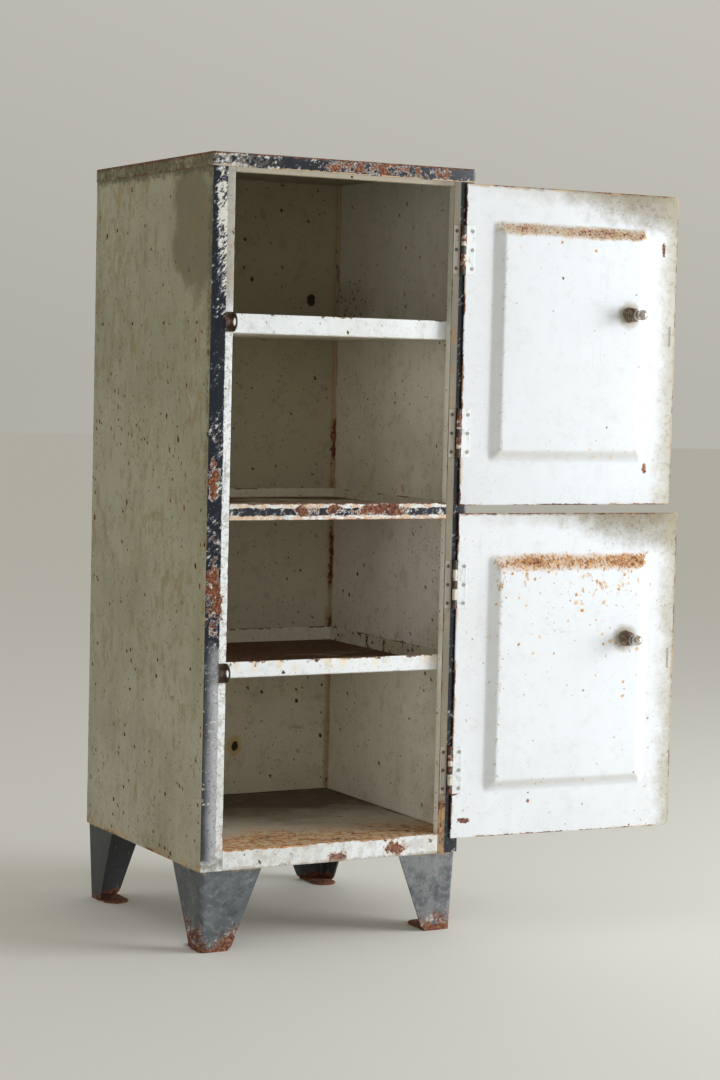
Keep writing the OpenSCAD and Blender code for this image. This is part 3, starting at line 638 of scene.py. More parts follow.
def pan_enamel():
    """The cabinet floor: fresh rust behind the front edge, bare grey in the middle and dirt at the back."""
    g = Graph("pan_enamel")
    forward = g.facing(g.ny * -1) * g.fade(g.y, FRONT + 2 * MM, FRONT + 3 * MM)
    coat = aged_enamel(g, g.mix((0.46, 0.42, 0.35), WHITE_ENAMEL, forward), 0.8, 1.2, seed=21)
    floor = g.facing(g.nz, 0.6, 0.9)
    depth = g.y - FRONT + g.wobble(0.22, 7, 4, 0.65, seed=8)
    dirt = g.noise(18, 6, 0.7, seed=3)
    coat.stain(floor * g.ramp(depth, 0.16, 0.34) * g.ramp(dirt, 0.2, 0.42) * 0.95, (0.09, 0.068, 0.042), 0.85)
    seam = g.edge((BACK - g.y).least(RIGHT - g.x), 14 * MM, seed=16, ragged=1.2, scale=30, soft=0.8)
    coat.stain(floor * seam * 0.9, (0.05, 0.035, 0.022), 0.85)
    coat.stain(floor * g.ramp(dirt, 0.46, 0.66) * 0.5, (0.2, 0.15, 0.1), 0.8)
    pale = g.band(depth, 0.08, 0.17, 0.04) * g.ramp(dirt, 0.36, 0.52)
    coat.stain(floor * pale * 0.6, (0.58, 0.5, 0.42), 0.7)
    front = g.fade(depth, 0.04, 0.15)
    coat.stain(floor * front * 0.6, (0.66, 0.45, 0.27), 0.8)
    coat.rust(floor * front * g.blots(85, 0.47, 0.53, 6, 0.74, seed=5), FRESH_RUST, seed=3)
    coat.rust(floor * front * g.blots(34, 0.58, 0.62, seed=6), seed=4)
    right = (0.105, BODY_BOTTOM + 17 * MM, 0.03, 0.016, 0.9, 0.7)
    middle = (0.01, BODY_BOTTOM + 6 * MM, 0.018, 0.012, 0.8, 0.7)
    scab = g.noise(36, 6, 0.74, seed=12) + g.gather(g.x, g.z, (right, middle), -0.3) * 0.22
    coat.stain(forward * g.ramp(scab, 0.55, 0.6) * 0.6)
    coat.rust(forward * g.ramp(scab, 0.595, 0.61), seed=4, depth=-0.2)
    coat.specks(0.017, 0.006, forward * 0.3, 8.3, 0.7)
    coat.rust(g.edge(PAN_TOP - g.z, 2.4 * MM, seed=9, ragged=2.5, run=0.75) * forward, FRESH_RUST, seed=6)
    foot = g.edge(g.z - BODY_BOTTOM, 5 * MM, seed=10, ragged=2, soft=0.8)
    coat.stain(foot * forward * 0.6, (0.3, 0.25, 0.18))
    coat.stain(g.blots(60, 0.44, 0.6, seed=11) * forward * 0.35, (0.42, 0.34, 0.26))
    return coat.finish()


def back_enamel():
    """The back panel: brown inside and painted darker towards the top as shade, with a yellowed seam; olive
    outside.
    """
    g = Graph("back_enamel")
    inside = g.facing(g.ny * -1, 0.3)
    # Painted shade: the inside of the back wall is darker and browner towards the top.
    higher = g.ramp(g.z, 0.25, 1.05)
    wall = g.mix((0.6, 0.555, 0.44), (0.34, 0.3, 0.19), higher)
    coat = aged_enamel(g, g.mix(SIDE_ENAMEL, wall, inside), 1.0, 1.6, seed=31)
    blots, _ = g.dots(0.03, 0.0105, g.blots(8, 0.44, 0.58, 3, 0.6, seed=34) * 0.3, seed=35)
    coat.stain(g.ramp(blots, 0.0, 0.7) * inside * 0.5, (0.24, 0.155, 0.04))
    corner = RIGHT - SHEET - g.x.abs()
    seam = g.edge(corner, 14 * MM, seed=9, ragged=0.9, scale=30, soft=0.9)
    coat.stain(seam * inside * 0.75, (0.33, 0.19, 0.06))
    coat.rust(g.edge(corner, 6 * MM, seed=10, ragged=2.4, scale=40, run=0.5) * inside, seed=8)
    for u, v, reach in BLOTS:
        yellow = (1 - higher) * 0.7
        halo = g.patch(g.x, g.z, (u, v), (2.4 * reach, 2.8 * reach), seed=u, ragged=1.2, scale=90, soft=0.8)
        coat.stain(halo * yellow, (0.5, 0.34, 0.06))
        core = g.patch(g.x, g.z, (u, v), (reach, 1.3 * reach), seed=u + 1, ragged=1.3, scale=120)
        coat.lay(core, (0.03, 0.018, 0.012), 0.85, height=-0.1)
    return coat.finish()


def door_enamel(which, low, high, panel, spindle, slope_rust_and_light):
    """A door: cold white enamel, a rust bloom along the top slope of the pressed panel and worn edges."""
    g = Graph(which + "_door_enamel", wrap=0)
    # Painted light: the upper door's white is made a little darker and the lower door's a little lighter, to
    # even out the light on the two doors; the same argument also sets the rust.
    shade = 0.92 + 0.12 * slope_rust_and_light
    white = (0.8 * shade, 0.835 * shade, 0.885 * shade)
    coat = aged_enamel(g, white, 0.26, 0.07 + 0.14 * slope_rust_and_light, seed=41 if which == "upper" else 52)
    left, bottom, right, top = panel
    to_top = high.z - g.z
    to_free = high.x - g.x
    edge = (g.x - low.x).least(to_free).least((g.z - low.z).least(to_top))
    # Grime along the top edge, in the free corner and down the free edge
    grime = g.edge(to_top, 30 * MM, seed=3, ragged=1.0, scale=26, soft=0.9)
    coat.stain(grime * (g.ramp(g.x, low.x - 0.1, high.x) * 0.85), (0.36, 0.33, 0.25), 0.6)
    corner = g.patch(to_free, to_top, (0, 0), (0.19, 0.055), seed=4, ragged=1.0, scale=30, soft=0.8)
    coat.stain(corner * 0.8, (0.25, 0.215, 0.145), 0.7)
    speckle = g.blots(150, 0.52, 0.62, 5, 0.75, seed=14)
    coat.stain(corner * speckle * 0.6, (0.17, 0.12, 0.07), 0.7)
    brown = g.edge(to_top.least(to_free), 6 * MM, seed=23, ragged=1.2, soft=0.9)
    coat.stain(brown * 0.6, (0.24, 0.17, 0.09), 0.7)
    rubbed = g.edge(to_free, 42 * MM, seed=5, ragged=0.8, scale=22, soft=0.9)
    coat.stain(rubbed * 0.68, (0.41, 0.37, 0.26), 0.6)
    coat.stain(rubbed * speckle * 0.5, (0.26, 0.21, 0.13), 0.7)
    ragged = g.wobble(0.9, 60, 4, 0.7, seed=21)
    far = g.ramp(g.place_distance(g.x, g.z, spindle, (0.027, 0.027)) + ragged, 0.15, 1.0)
    coat.stain((1 - far) * 0.75, (0.3, 0.24, 0.13), 0.6)
    # Bare, rusty edges
    coat.rust(g.edge(edge, 1.8 * MM, seed=6, ragged=3.0, run=0.75), seed=1)
    coat.stain(g.edge(edge, 4 * MM, seed=7, ragged=2.5, run=0.45, soft=0.8) * 0.5, (0.6, 0.38, 0.18))
    # Rust that has bloomed in fine grains on the top slope of the panel and run down below it
    under = top - g.z + g.wobble(14 * MM, 24, 4, 0.6, seed=7)
    inside = g.band(g.x + g.wobble(0.03, 70, 4, seed=9), left + 8 * MM, right - 8 * MM, 6 * MM)
    middle, half = (10 + slope_rust_and_light) * MM, (12 + 4 * slope_rust_and_light) * MM
    off = (under - middle) / half
    uneven = g.ramp(g.x, left, right) * 0.35 + g.noise(17, 3, 0.6, seed=22) * 1.4 + (0.1 - 0.06 * slope_rust_and_light)
    bloom = (1 - off * off).most(-0.6) * inside * uneven
    grains = g.noise(300, 5, 0.74, stretch=(1, 1, 0.6), seed=12)
    clumps = g.noise(110, 4, 0.7, seed=20)
    film = g.mix((0.42, 0.33, 0.165), (0.66, 0.44, 0.27), slope_rust_and_light * 0.7 + 0.3 * g.ramp(clumps, 0.44, 0.56))
    coat.stain(g.ramp(bloom, -0.1, 0.8) * (0.55 + 0.2 * slope_rust_and_light), film, 0.75)
    dense = bloom * (0.17 + 0.01 * slope_rust_and_light) + grains * 0.6 + clumps * 0.4
    coat.rust(g.ramp(dense, 0.59, 0.64) * (0.6 + 0.3 * slope_rust_and_light), FRESH_RUST, seed=2, depth=0.05)
    coat.rust(g.ramp(dense + g.wobble(0.5, 240, 4, 0.7, seed=17), 0.71, 0.75), seed=5, depth=0.05)
    tall = (16 + 10 * slope_rust_and_light) * MM
    drips = g.blots(90, 0.57, 0.62, stretch=(1, 1, 0.5), seed=8)
    below = g.band(under, tall - 8 * MM, tall + (6 + 34 * slope_rust_and_light) * MM, 6 * MM) * inside
    coat.stain(below * drips * (0.25 + 0.45 * slope_rust_and_light), (0.7, 0.42, 0.16), 0.7)
    run = g.ramp(below * drips * g.noise(160, 4, seed=18), 0.5 - 0.06 * slope_rust_and_light, 0.58)
    coat.rust(run, FRESH_RUST, seed=6)
    # Loose orange spots that thin out downwards
    fall = g.fade(under, 0.02, 0.12 + 0.16 * slope_rust_and_light)
    here = fall * g.ramp(under, 0.0, 0.02) * inside
    spots, tone = g.dots(0.013, 0.0056, here * (0.1 + 0.3 * slope_rust_and_light), seed=13)
    coat.stain(g.ramp(spots, 0.0, 0.5) * (0.35 + 0.4 * slope_rust_and_light), (0.72, 0.45, 0.17))
    coat.lay(g.ramp(spots, 0.45, 0.7) * g.ramp(tone, 0.3, 0.7), (0.5, 0.24, 0.07), 0.8)
    # Painted shade on the left slope of the panel, which faces away from the light, and dirt that settles on the
    # slopes
    left_slope_shade = g.band(g.x, left, left + PANEL_SLOPE, 3 * MM) * g.band(g.z, bottom, top, 8 * MM)
    coat.stain(left_slope_shade * 0.22, (0.42, 0.41, 0.36), 0.5)
    above = g.z - bottom
    coat.stain(g.band(above, 6 * MM, 17 * MM, 5 * MM) * inside * 0.28, (0.5, 0.44, 0.31), 0.6)
    settled, _ = g.dots(0.015, 0.0066, g.band(above, 6 * MM, 20 * MM, 4 * MM) * inside * 0.5, seed=16)
    coat.stain(g.ramp(settled, 0.1, 0.6) * 0.55, (0.68, 0.46, 0.22))
    foot = g.band(g.x, left + 14 * MM, left + 22 * MM, 4 * MM) * g.band(g.z, bottom, top, 0.01)
    coat.stain(foot * g.blots(130, 0.55, 0.62, 5, 0.72, seed=19) * 0.6, (0.34, 0.27, 0.16), 0.7)
    scabs = {
        "upper": ((right + 0.004, bottom - 0.012, 0.004, 0.009), (right + 0.03, top - 0.03, 0.003, 0.012)),
        "lower": ((low.x + 0.022, low.z + 0.028, 0.012, 0.004), (low.x + 0.004, low.z + 0.075, 0.009, 0.006)),
    }
    for scab in scabs[which]:
        seed = scab[0]
        coat.rust(g.patch(g.x, g.z, scab[:2], scab[2:], seed, ragged=3.0, scale=130, soft=0.3), seed=seed)
    return coat.finish()


def leg_paint():
    """Slate paint on the legs, scuffed pale and rusted at the feet, with paler patches on the right legs as
    painted light and the rear legs painted nearly black as shade.
    """
    g = Graph("leg_paint")
    coat = Coat(g, SLATE, 0.5)
    coat.height = g.noise(420, 5, 0.7) * 0.1 + g.noise(60, 4, 0.6, seed=1) * 0.15
    coat.lay(g.blots(24, 0.44, 0.66, seed=2) * 0.6, (0.165, 0.18, 0.19), 0.55)
    coat.lay(g.blots(110, 0.52, 0.62, 5, 0.75, seed=9) * 0.5, (0.24, 0.26, 0.275), 0.6)
    # Painted light: paler patches grow towards the right, where the legs face the light.
    pale = g.ramp(g.x, -0.05, 0.12) * g.blots(42, 0.42, 0.56, 5, 0.75, seed=13)
    coat.lay(pale * 0.45, (0.29, 0.295, 0.29), 0.6)
    coat.lay(g.blots(36, 0.5, 0.7, seed=3) * 0.7, (0.028, 0.034, 0.042), 0.5)
    # Painted shade: the rear legs are darkened nearly to black, for the shadow under the cabinet.
    coat.lay(g.ramp(g.y, -0.02, 0.05) * 0.78, (0.022, 0.023, 0.026), 0.5)
    streak = g.noise(140, 5, 0.74, stretch=(1, 1, 0.3), seed=4)
    coat.lay(g.ramp(streak, 0.64, 0.68) * 0.5, (0.42, 0.42, 0.41), 0.6)
    rag = g.noise(30, 5, 0.7, seed=5) - 0.5
    sideways = g.facing(g.nx.abs(), 0.5, 0.8)
    low = g.fade(g.z + rag * 0.1 - sideways * 0.016 + g.ramp(g.y, -0.02, 0.05) * 0.03, 0.016, 0.034)
    coat.lay(low * g.blots(90, 0.5, 0.56, 5, 0.74, seed=6) * 0.9, (0.56, 0.46, 0.4), 0.7)
    coat.rust(low * g.blots(52, 0.45, 0.51, seed=7), seed=3)
    coat.rust(g.fade(g.z + rag * 0.03, 0.006, 0.01), seed=5)
    coat.rust(g.blots(19, 0.66, 0.69, seed=8), seed=4)
    coat.stain(g.edge(BODY_BOTTOM - g.z, 3 * MM, seed=12, ragged=2, run=0.7) * 0.7, (0.35, 0.25, 0.16))
    return coat.finish()


def hinge_paint(name, body, knuckle):
    """Enamel brushed over a hinge leaf, with the knuckles worn to their own colour."""
    g = Graph(name)
    coat = Coat(g, body, 0.4)
    coat.height = g.noise(300, 4, 0.6) * 0.08
    coat.lay(g.blots(90, 0.5, 0.68) * 0.5, (0.36, 0.3, 0.21), 0.6)
    round_pin = g.fade((g.x - PIN_X).abs(), 4.2 * MM, 5.2 * MM)
    coat.lay(round_pin, knuckle, 0.5, height=-0.03)
    coat.rust(round_pin * g.blots(70, 0.5, 0.56, seed=4), seed=3)
    coat.rust(g.blots(70, 0.64, 0.67, seed=5), seed=4)
    return coat.finish()


def rusty_steel():
    """Bare steel hardware, brown with rust and rubbed bright on its high spots."""
    g = Graph("rusty_steel")
    coat = Coat(g, (0.12, 0.09, 0.06), 0.45, 0.6)
    coat.lay(g.blots(240, 0.42, 0.58, seed=2) * 0.8, (0.045, 0.028, 0.018), 0.7, 0.0, 0.04)
    coat.rust(g.blots(90, 0.56, 0.62), seed=1, depth=0.03)
    return coat.finish()


def spring_steel():
    """Oily grey-brown wire with a little rust."""
    g = Graph("spring_steel")
    coat = Coat(g, (0.3, 0.26, 0.2), 0.36, 0.75)
    coat.lay(g.blots(160, 0.44, 0.56, 4) * 0.8, (0.1, 0.07, 0.04), 0.6, 0.2)
    coat.rust(g.blots(120, 0.5, 0.58, 4, seed=3), seed=1, depth=0.02)
    return coat.finish()


def dark_steel():
    """Small rivets, nearly black with age."""
    g = Graph("dark_steel")
    coat = Coat(g, (0.045, 0.042, 0.042), 0.45, 0.6)
    coat.rust(g.blots(400, 0.5, 0.6, 4, 0.6), seed=1, depth=0.02)
    return coat.finish()


def worn_plating():
    """Nickel plating gone dull, with brown freckles."""
    g = Graph("worn_plating")
    coat = Coat(g, (0.66, 0.62, 0.58), 0.24, 1.0)
    coat.lay(g.blots(90, 0.46, 0.62, 4, 0.6) * 0.6, (0.26, 0.2, 0.15), 0.5, 0.7)
    coat.rust(g.blots(180, 0.62, 0.67, 4, seed=2), seed=1, depth=0.02)
    return coat.finish()


# ---------------------------------------------------------------- mesh building


def new_piece(name, points, faces, material, body, smooth_angle=SMOOTH_ANGLE):
    """A mesh object made from points and faces, riding on a CAD body."""
    mesh = bpy.data.meshes.new(name)
    mesh.from_pydata([tuple(p) for p in points], [], faces)
    mesh.validate()
    piece = bpy.data.objects.new(name, mesh)
    bpy.context.scene.collection.objects.link(piece)
    piece.data.materials.append(material)
    shade(piece, smooth_angle)
    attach(piece, body)
    return piece


def shade(piece, smooth_angle):
    mesh = piece.data
    mesh.polygons.foreach_set("use_smooth", [True] * len(mesh.polygons))
    mesh.set_sharp_from_angle(angle=math.radians(smooth_angle))


def round_ring(low, high, radii, steps=7):
    """Points round a rectangle, anticlockwise from the right side, with a radius for each corner.

    The radii are for the high-high, low-high, low-low and high-low corners."""
    (u0, v0), (u1, v1) = low, high
    corners = ((u1, v1, -1, -1), (u0, v1, 1, -1), (u0, v0, 1, 1), (u1, v0, -1, 1))
    points = []
    for quarter, ((u, v, su, sv), radius) in enumerate(zip(corners, radii)):
        for step in range(steps + 1):
            angle = (quarter + step / steps) * math.pi / 2
            points.append((u + radius * (su + math.cos(angle)), v + radius * (sv + math.sin(angle))))
    return points


def loft(rings):
    """A closed solid through rings of points with equal counts, capped at both ends."""
    count = len(rings[0])
    points = [p for ring in rings for p in ring]
    faces = []
    for r in range(len(rings) - 1):
        for i in range(count):
            j = (i + 1) % count
            faces.append((r * count + i, r * count + j, (r + 1) * count + j, (r + 1) * count + i))
    faces.append(tuple(reversed(range(count))))
    faces.append(tuple(range((len(rings) - 1) * count, len(rings) * count)))
    return points, faces


def arc(centre, radius, start, end, steps=5):
    """Points of an arc, with the angles in degrees."""
    turns = [math.radians(start + (end - start) * s / steps) for s in range(steps + 1)]
    return [(centre[0] + radius * math.cos(a), centre[1] + radius * math.sin(a)) for a in turns]


def folded_tray(name, node, material, corner, upward=True):
    """A tray with folded lips, which replaces a CAD tray of the same size. Upside down it is a lid."""
    low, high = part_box(node)
    depth = high.z - low.z
    fold, inner = TRAY_FOLD, TRAY_FOLD - SHEET
    half = SHEET / 2
    profile = [(fold + MM, SHEET)]
    profile += arc((fold, fold), inner, 270, 180)
    profile += arc((half, depth - half), half, 0, 180)
    profile += arc((fold, fold), fold, 180, 270)
    profile += [(fold + MM, 0)]
    rings = []
    for inset, height in profile:
        radius = max(corner - inset, 0.6 * MM)
        z = low.z + height if upward else high.z - height
        ring = round_ring((low.x + inset, low.y + inset), (high.x - inset, high.y - inset), [radius] * 4)
        rings.append([(x, y, z) for x, y in ring])
    points, faces = loft(rings)
    if upward:
        faces = [tuple(reversed(f)) for f in faces]
    piece = new_piece(name, points, faces, material, "cabinet")
    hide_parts(node)
    return piece


def folded_side(name, node, inner_coat, outer_coat, stile_coat, hand):
    """A side panel: wall, folded corners, stile with its return, and rear flange. hand is -1 at the left."""
    low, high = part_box(node)
    fold = 4 * MM
    inner = fold - SHEET
    width = high.x - low.x
    depth = high.y - low.y
    turned_in = 14 * MM
    rear = 12 * MM
    edge = 1.6 * MM
    plan = [(width, turned_in)]
    plan += arc((width - edge, edge), edge, 360, 270, 4)
    plan += arc((fold, fold), fold, 270, 180, 8)
    plan += arc((fold, depth - fold), fold, 180, 90, 8)
    plan += [(rear, depth), (rear, depth - SHEET)]
    plan += arc((fold, depth - fold), inner, 90, 180, 8)
    plan += arc((fold, fold), inner, 180, 270, 8)
    plan += arc((width - edge, edge), edge - SHEET, 270, 360, 4)
    plan += [(width - SHEET, turned_in)]
    outer = low.x if hand < 0 else high.x
    rings = [[(outer - hand * x, low.y + y, z) for x, y in plan] for z in (low.z, high.z)]
    points, faces = loft(rings)
    if hand < 0:
        faces = [tuple(reversed(f)) for f in faces]
    piece = new_piece(name, points, faces, inner_coat, "cabinet")
    piece.data.materials.append(outer_coat)
    piece.data.materials.append(stile_coat)
    for face in piece.data.polygons:
        on_wall = face.normal.x * hand > 0.3 and face.center.x * hand > RIGHT - 2 * MM
        if face.normal.y < -0.35 and face.center.y < low.y + SHEET:
            face.material_index = 2
        elif on_wall or face.center.y > high.y - 0.1 * MM:
            face.material_index = 1
    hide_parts(node)
    return piece


def pressed_leg(name, node, material, side, end):
    """A leg pressed from plate: two tapering flanges with a rounded corner, and a foot pad with a hole."""
    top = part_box(node)[1].z
    thick, fold = 3 * MM, 8 * MM
    inset = 2 * SHEET
    lean = math.tan(math.radians(2))
    outer_x = RIGHT - inset
    outer_y = -FRONT - inset

    def place(x, y, z):
        return (side * (outer_x - x), end * (outer_y - y), z)

    def flange_width(z, foot):
        width = foot + (LEG_TOP - foot) * z / BODY_BOTTOM
        if z < FOOT_CORNER:
            width -= FOOT_CORNER - math.sqrt(FOOT_CORNER**2 - (FOOT_CORNER - z) ** 2)
        return width

    rings = []
    for z in [0, 0.6 * MM, 2 * MM, 4 * MM, 7 * MM, FOOT_CORNER] + [BODY_BOTTOM * k / 12 for k in range(1, 13)]:
        shift = (BODY_BOTTOM - z) * lean
        along_x, along_y = (flange_width(z, foot) for foot in LEG_FOOT)
        plan = [(0, along_y)] + arc((fold, fold), fold, 180, 270, 8) + [(along_x, 0), (along_x, thick)]
        plan += arc((fold, fold), fold - thick, 270, 180, 8) + [(thick, along_y)]
        rings.append([place(x + shift, y + shift, z) for x, y in plan])
    points, faces = loft(rings)
    hole = (outer_x - FOOT_HOLE[0], outer_y - FOOT_HOLE[1])
    heel = hole[1] - BODY_BOTTOM * lean - 0.5 * MM
    toe = arc((0, 0), TOE_RADIUS, 0, 180, 20)
    toe += [(-TOE_RADIUS, -heel * k / 4) for k in range(1, 5)]
    toe += [(-TOE_RADIUS + TOE_RADIUS * k / 4, -heel) for k in range(1, 9)]
    toe += [(TOE_RADIUS, -heel + heel * k / 4) for k in range(1, 4)]
    rim = [tuple(FOOT_HOLE_RADIUS * c / math.hypot(*p) for c in p) for p in toe]
    start, count = len(points), len(toe)
    edge = 1 * MM
    pad = (
        (rim, 1, 0),
        (toe, 1, 0),
        (toe, 1, thick - edge),
        (toe, 1 - 0.3 * edge / TOE_RADIUS, thick - 0.3 * edge),
        (toe, 1 - edge / TOE_RADIUS, thick),
        (rim, 1, thick),
    )
    for outline, scale, z in pad:
        points += [place(hole[0] + scale * x, hole[1] + scale * y, z) for x, y in outline]
    for ring in range(len(pad)):
        for i in range(count):
            a, b = start + ring * count + i, start + ring * count + (i + 1) % count
            c, d = ((k - start + count) % (len(pad) * count) + start for k in (b, a))
            faces.append((a, b, c, d))
    start = len(points)
    tab_near, tab_far = 14 * MM + thick, LEG_TOP
    tab = ((0, tab_near), (thick, tab_near), (thick, tab_far), (0, tab_far))
    points += [place(x, y, z) for z in (BODY_BOTTOM - thick, top) for x, y in tab]
    faces += [
        tuple(start + k for k in f)
        for f in ((3, 2, 1, 0), (4, 5, 6, 7), (0, 1, 5, 4), (1, 2, 6, 5), (2, 3, 7, 6), (3, 0, 4, 7))
    ]
    piece = new_piece(name, points, faces, material, "cabinet")
    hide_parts(node)
    return piece


# ---------------------------------------------------------------- doors


class Door:
    """One door's places. Closed coordinates have the door shut; at rest it is swung open about its pins."""

    def __init__(self, which):
        self.which = which
        self.body = which + "_door"
        hinge = HINGES[self.body]
        self.pin = Vector((*hinge["pos_m"][:2], 0))
        turn = Matrix.Rotation(math.radians(-hinge["range_deg"][0]), 4, "Z")
        self.swing = Matrix.Translation(self.pin) @ turn @ Matrix.Translation(-self.pin)
        self.low, self.high = self.closed_box(which + "_door_skin")
        self.inner_face = self.low.y + HEM_THICK
        cup_low, cup_high = self.closed_box(which + "_spring_cup")
        self.spindle = (cup_low + cup_high) / 2
        self.spring_end = cup_low.y
        hinge_edge = self.high.x
        left = hinge_edge - PANEL_INSET[which] - PANEL_SIZE[0]
        self.panel = (left, PANEL_LOW[which], left + PANEL_SIZE[0], PANEL_LOW[which] + PANEL_SIZE[1])
        eye_low, eye_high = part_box(which + "_padlock_eye")
        self.slot = (eye_high.x - SHEET, (eye_low.z + eye_high.z) / 2)

    def closed_box(self, node):
        back = self.swing.inverted()
        points = [back @ v.co for v in frame["nodes"][node].data.vertices]
        return (
            Vector([min(p[i] for p in points) for i in range(3)]),
            Vector([max(p[i] for p in points) for i in range(3)]),
        )

    def open(self, x, y, z):
        return self.swing @ Vector((x, y, z))

    def open_panel(self):
        """The panel's left, bottom, right and top in the open door at rest."""
        left, bottom, right, top = self.panel
        ends = sorted((self.open(left, self.inner_face, 0).x, self.open(right, self.inner_face, 0).x))
        return ends[0], bottom, ends[1], top


def eased(share, bend):
    """A straight slope from 0 to 1 with a short bend at each end."""
    steep = 1 / (1 - bend)
    if share < bend:
        return steep * share * share / (2 * bend)
    if share > 1 - bend:
        return 1 - steep * (1 - share) ** 2 / (2 * bend)
    return steep * (share - bend / 2)


def door_rings(door):
    """The rings of a pressed door, from the middle of its inner face round the hem to its back."""
    left, bottom, right, top = door.panel
    corner = 8 * MM
    square = 2 * MM
    top_corner = square if door.which == "lower" else corner
    radii = (square, top_corner, corner, square)
    slope_start = -1.5 * MM
    slope_end = PANEL_SLOPE + 1.5 * MM

    def panel_ring(inset, y):
        radius = max(9 * MM - 0.4 * inset, 3 * MM)
        ring = round_ring((left + inset, bottom + inset), (right - inset, top - inset), [radius] * 4, 9)
        return [(x, y, z) for x, z in ring]

    def door_ring(inset, y):
        ring = round_ring(
            (door.low.x + inset, door.low.z + inset),
            (door.high.x - inset, door.high.z - inset),
            [max(r - inset, 0.5 * MM) for r in radii],
            9,
        )
        return [(x, y, z) for x, z in ring]

    def panel_slope(face):
        steps = 12
        rings = []
        for s in range(steps + 1):
            share = s / steps
            rise = PANEL_RISE * eased(share, 0.16)
            rings.append(panel_ring(slope_start + (slope_end - slope_start) * share, face + rise))
        return rings

    face = door.inner_face
    hem_r = HEM_THICK / 2
    rings = [panel_ring(slope_end + 3 * MM, face + PANEL_RISE)]
    rings += list(reversed(panel_slope(face)))
    rings += [panel_ring(slope_start - 2 * MM, face), door_ring(6 * MM, face), door_ring(2 * MM, face)]
    rings += [door_ring(u, y) for u, y in arc((hem_r, face - hem_r), hem_r, 90, 270, 6)]
    rings += [door_ring(HEM_WIDTH - 0.6 * MM, face - HEM_THICK)]
    rings += [door_ring(HEM_WIDTH, face - HEM_THICK + 0.6 * MM), door_ring(HEM_WIDTH + 0.1 * MM, face - SHEET)]
    rings += [door_ring(HEM_WIDTH + 2 * MM, face - SHEET), panel_ring(slope_start - 2 * MM, face - SHEET)]
    rings += panel_slope(face - SHEET)
    rings += [panel_ring(slope_end + 3 * MM, face - SHEET + PANEL_RISE)]
    return rings


def cut_away(piece, cutters):
    """Subtracts cutters from a piece and removes them."""
    for cutter in cutters:
        step = piece.modifiers.new("cut", "BOOLEAN")
        step.operation = "DIFFERENCE"
        step.solver = "EXACT"
        step.object = cutter
    bpy.context.view_layer.update()
    ready = piece.evaluated_get(bpy.context.evaluated_depsgraph_get())
    mesh = bpy.data.meshes.new_from_object(ready)
    piece.modifiers.clear()
    piece.data = mesh
    for cutter in cutters:
        bpy.data.objects.remove(cutter)


def prism(name, outline, y0, y1, place):
    """A cutter with an outline in x and z, from y0 to y1, moved by place."""
    rings = [[tuple(place(x, y, z)) for x, z in outline] for y in (y1, y0)]
    points, faces = loft(rings)
    mesh = bpy.data.meshes.new(name)
    mesh.from_pydata(points, [], faces)
    mesh.validate()
    cutter = bpy.data.objects.new(name, mesh)
    bpy.context.scene.collection.objects.link(cutter)
    return cutter


def door_skin(door, material):
    """The pressed sheet with its raised panel, hem, padlock slot and spindle hole."""
    rings = [[tuple(door.open(*p)) for p in ring] for ring in door_rings(door)]
    points, faces = loft(rings)
    faces = [tuple(reversed(f)) for f in faces]
    piece = new_piece(door.which + "_pressed_door", points, faces, material, door.body)
    face = door.inner_face
    x, z = door.slot
    half_w, half_h = SLOT_SIZE[0] / 2, SLOT_SIZE[1] / 2
    slot = round_ring((x - half_w, z - half_h), (x + half_w, z + half_h), [half_w * 0.8] * 4, 4)
    x, z = door.spindle.x, door.spindle.z
    hole_low, hole_high = (x - HOLE_RADIUS, z - HOLE_RADIUS), (x + HOLE_RADIUS, z + HOLE_RADIUS)
    hole = round_ring(hole_low, hole_high, [HOLE_RADIUS] * 4, 8)
    slot_cutter = prism("slot_cutter", slot, face - 4 * MM, face + 3 * MM, door.open)
    hole_cutter = prism("hole_cutter", hole, face, face + 2 * PANEL_RISE, door.open)
    cut_away(piece, [slot_cutter, hole_cutter])
    shade(piece, SMOOTH_ANGLE)
    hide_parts(door.which + "_door_skin")
    return piece


def coil_spring(door, material):
    """The conical spring behind the spindle's cup, with its end turns wound flat."""
    start = door.inner_face + PANEL_RISE + WIRE_RADIUS
    end = door.spring_end - WIRE_RADIUS
    wide, narrow = SPRING_RADII
    steps_a_turn = 28
    sides = 9
    total = SPRING_TURNS * steps_a_turn
    points = []
    faces = []
    for s in range(total + 1):
        share = s / total
        turn = 2 * math.pi * SPRING_TURNS * share
        climb = min(max((share * SPRING_TURNS - 0.6) / (SPRING_TURNS - 1.2), 0), 1)
        radius = wide + (narrow - wide) * share
        for k in range(sides):
            around = 2 * math.pi * k / sides
            out = radius + WIRE_RADIUS * math.cos(around)
            along = start + (end - start) * climb + WIRE_RADIUS * math.sin(around)
            x, z = door.spindle.x + out * math.cos(turn), door.spindle.z + out * math.sin(turn)
            points.append(tuple(door.open(x, along, z)))
    for s in range(total):
        for k in range(sides):
            n = (k + 1) % sides
            faces.append((s * sides + k, s * sides + n, (s + 1) * sides + n, (s + 1) * sides + k))
    faces.append(tuple(range(sides)))
    faces.append(tuple(reversed(range(total * sides, (total + 1) * sides))))
    piece = new_piece(door.which + "_coil_spring", points, faces, material, door.body, smooth_angle=60)
    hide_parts(door.which + "_spring")
    anchor = door.open(door.spindle.x, door.inner_face + PANEL_RISE, door.spindle.z)
    tip = door.open(door.spindle.x, door.spring_end, door.spindle.z)
    travel = next(j for j in frame["joints"] if j["name"] == door.which + "_knob_pull")["range_m"][1]
    axis = tip - anchor
    keep = (axis.length - travel) / axis.length
    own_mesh(piece)
    return piece


# ---------------------------------------------------------------- putting it together


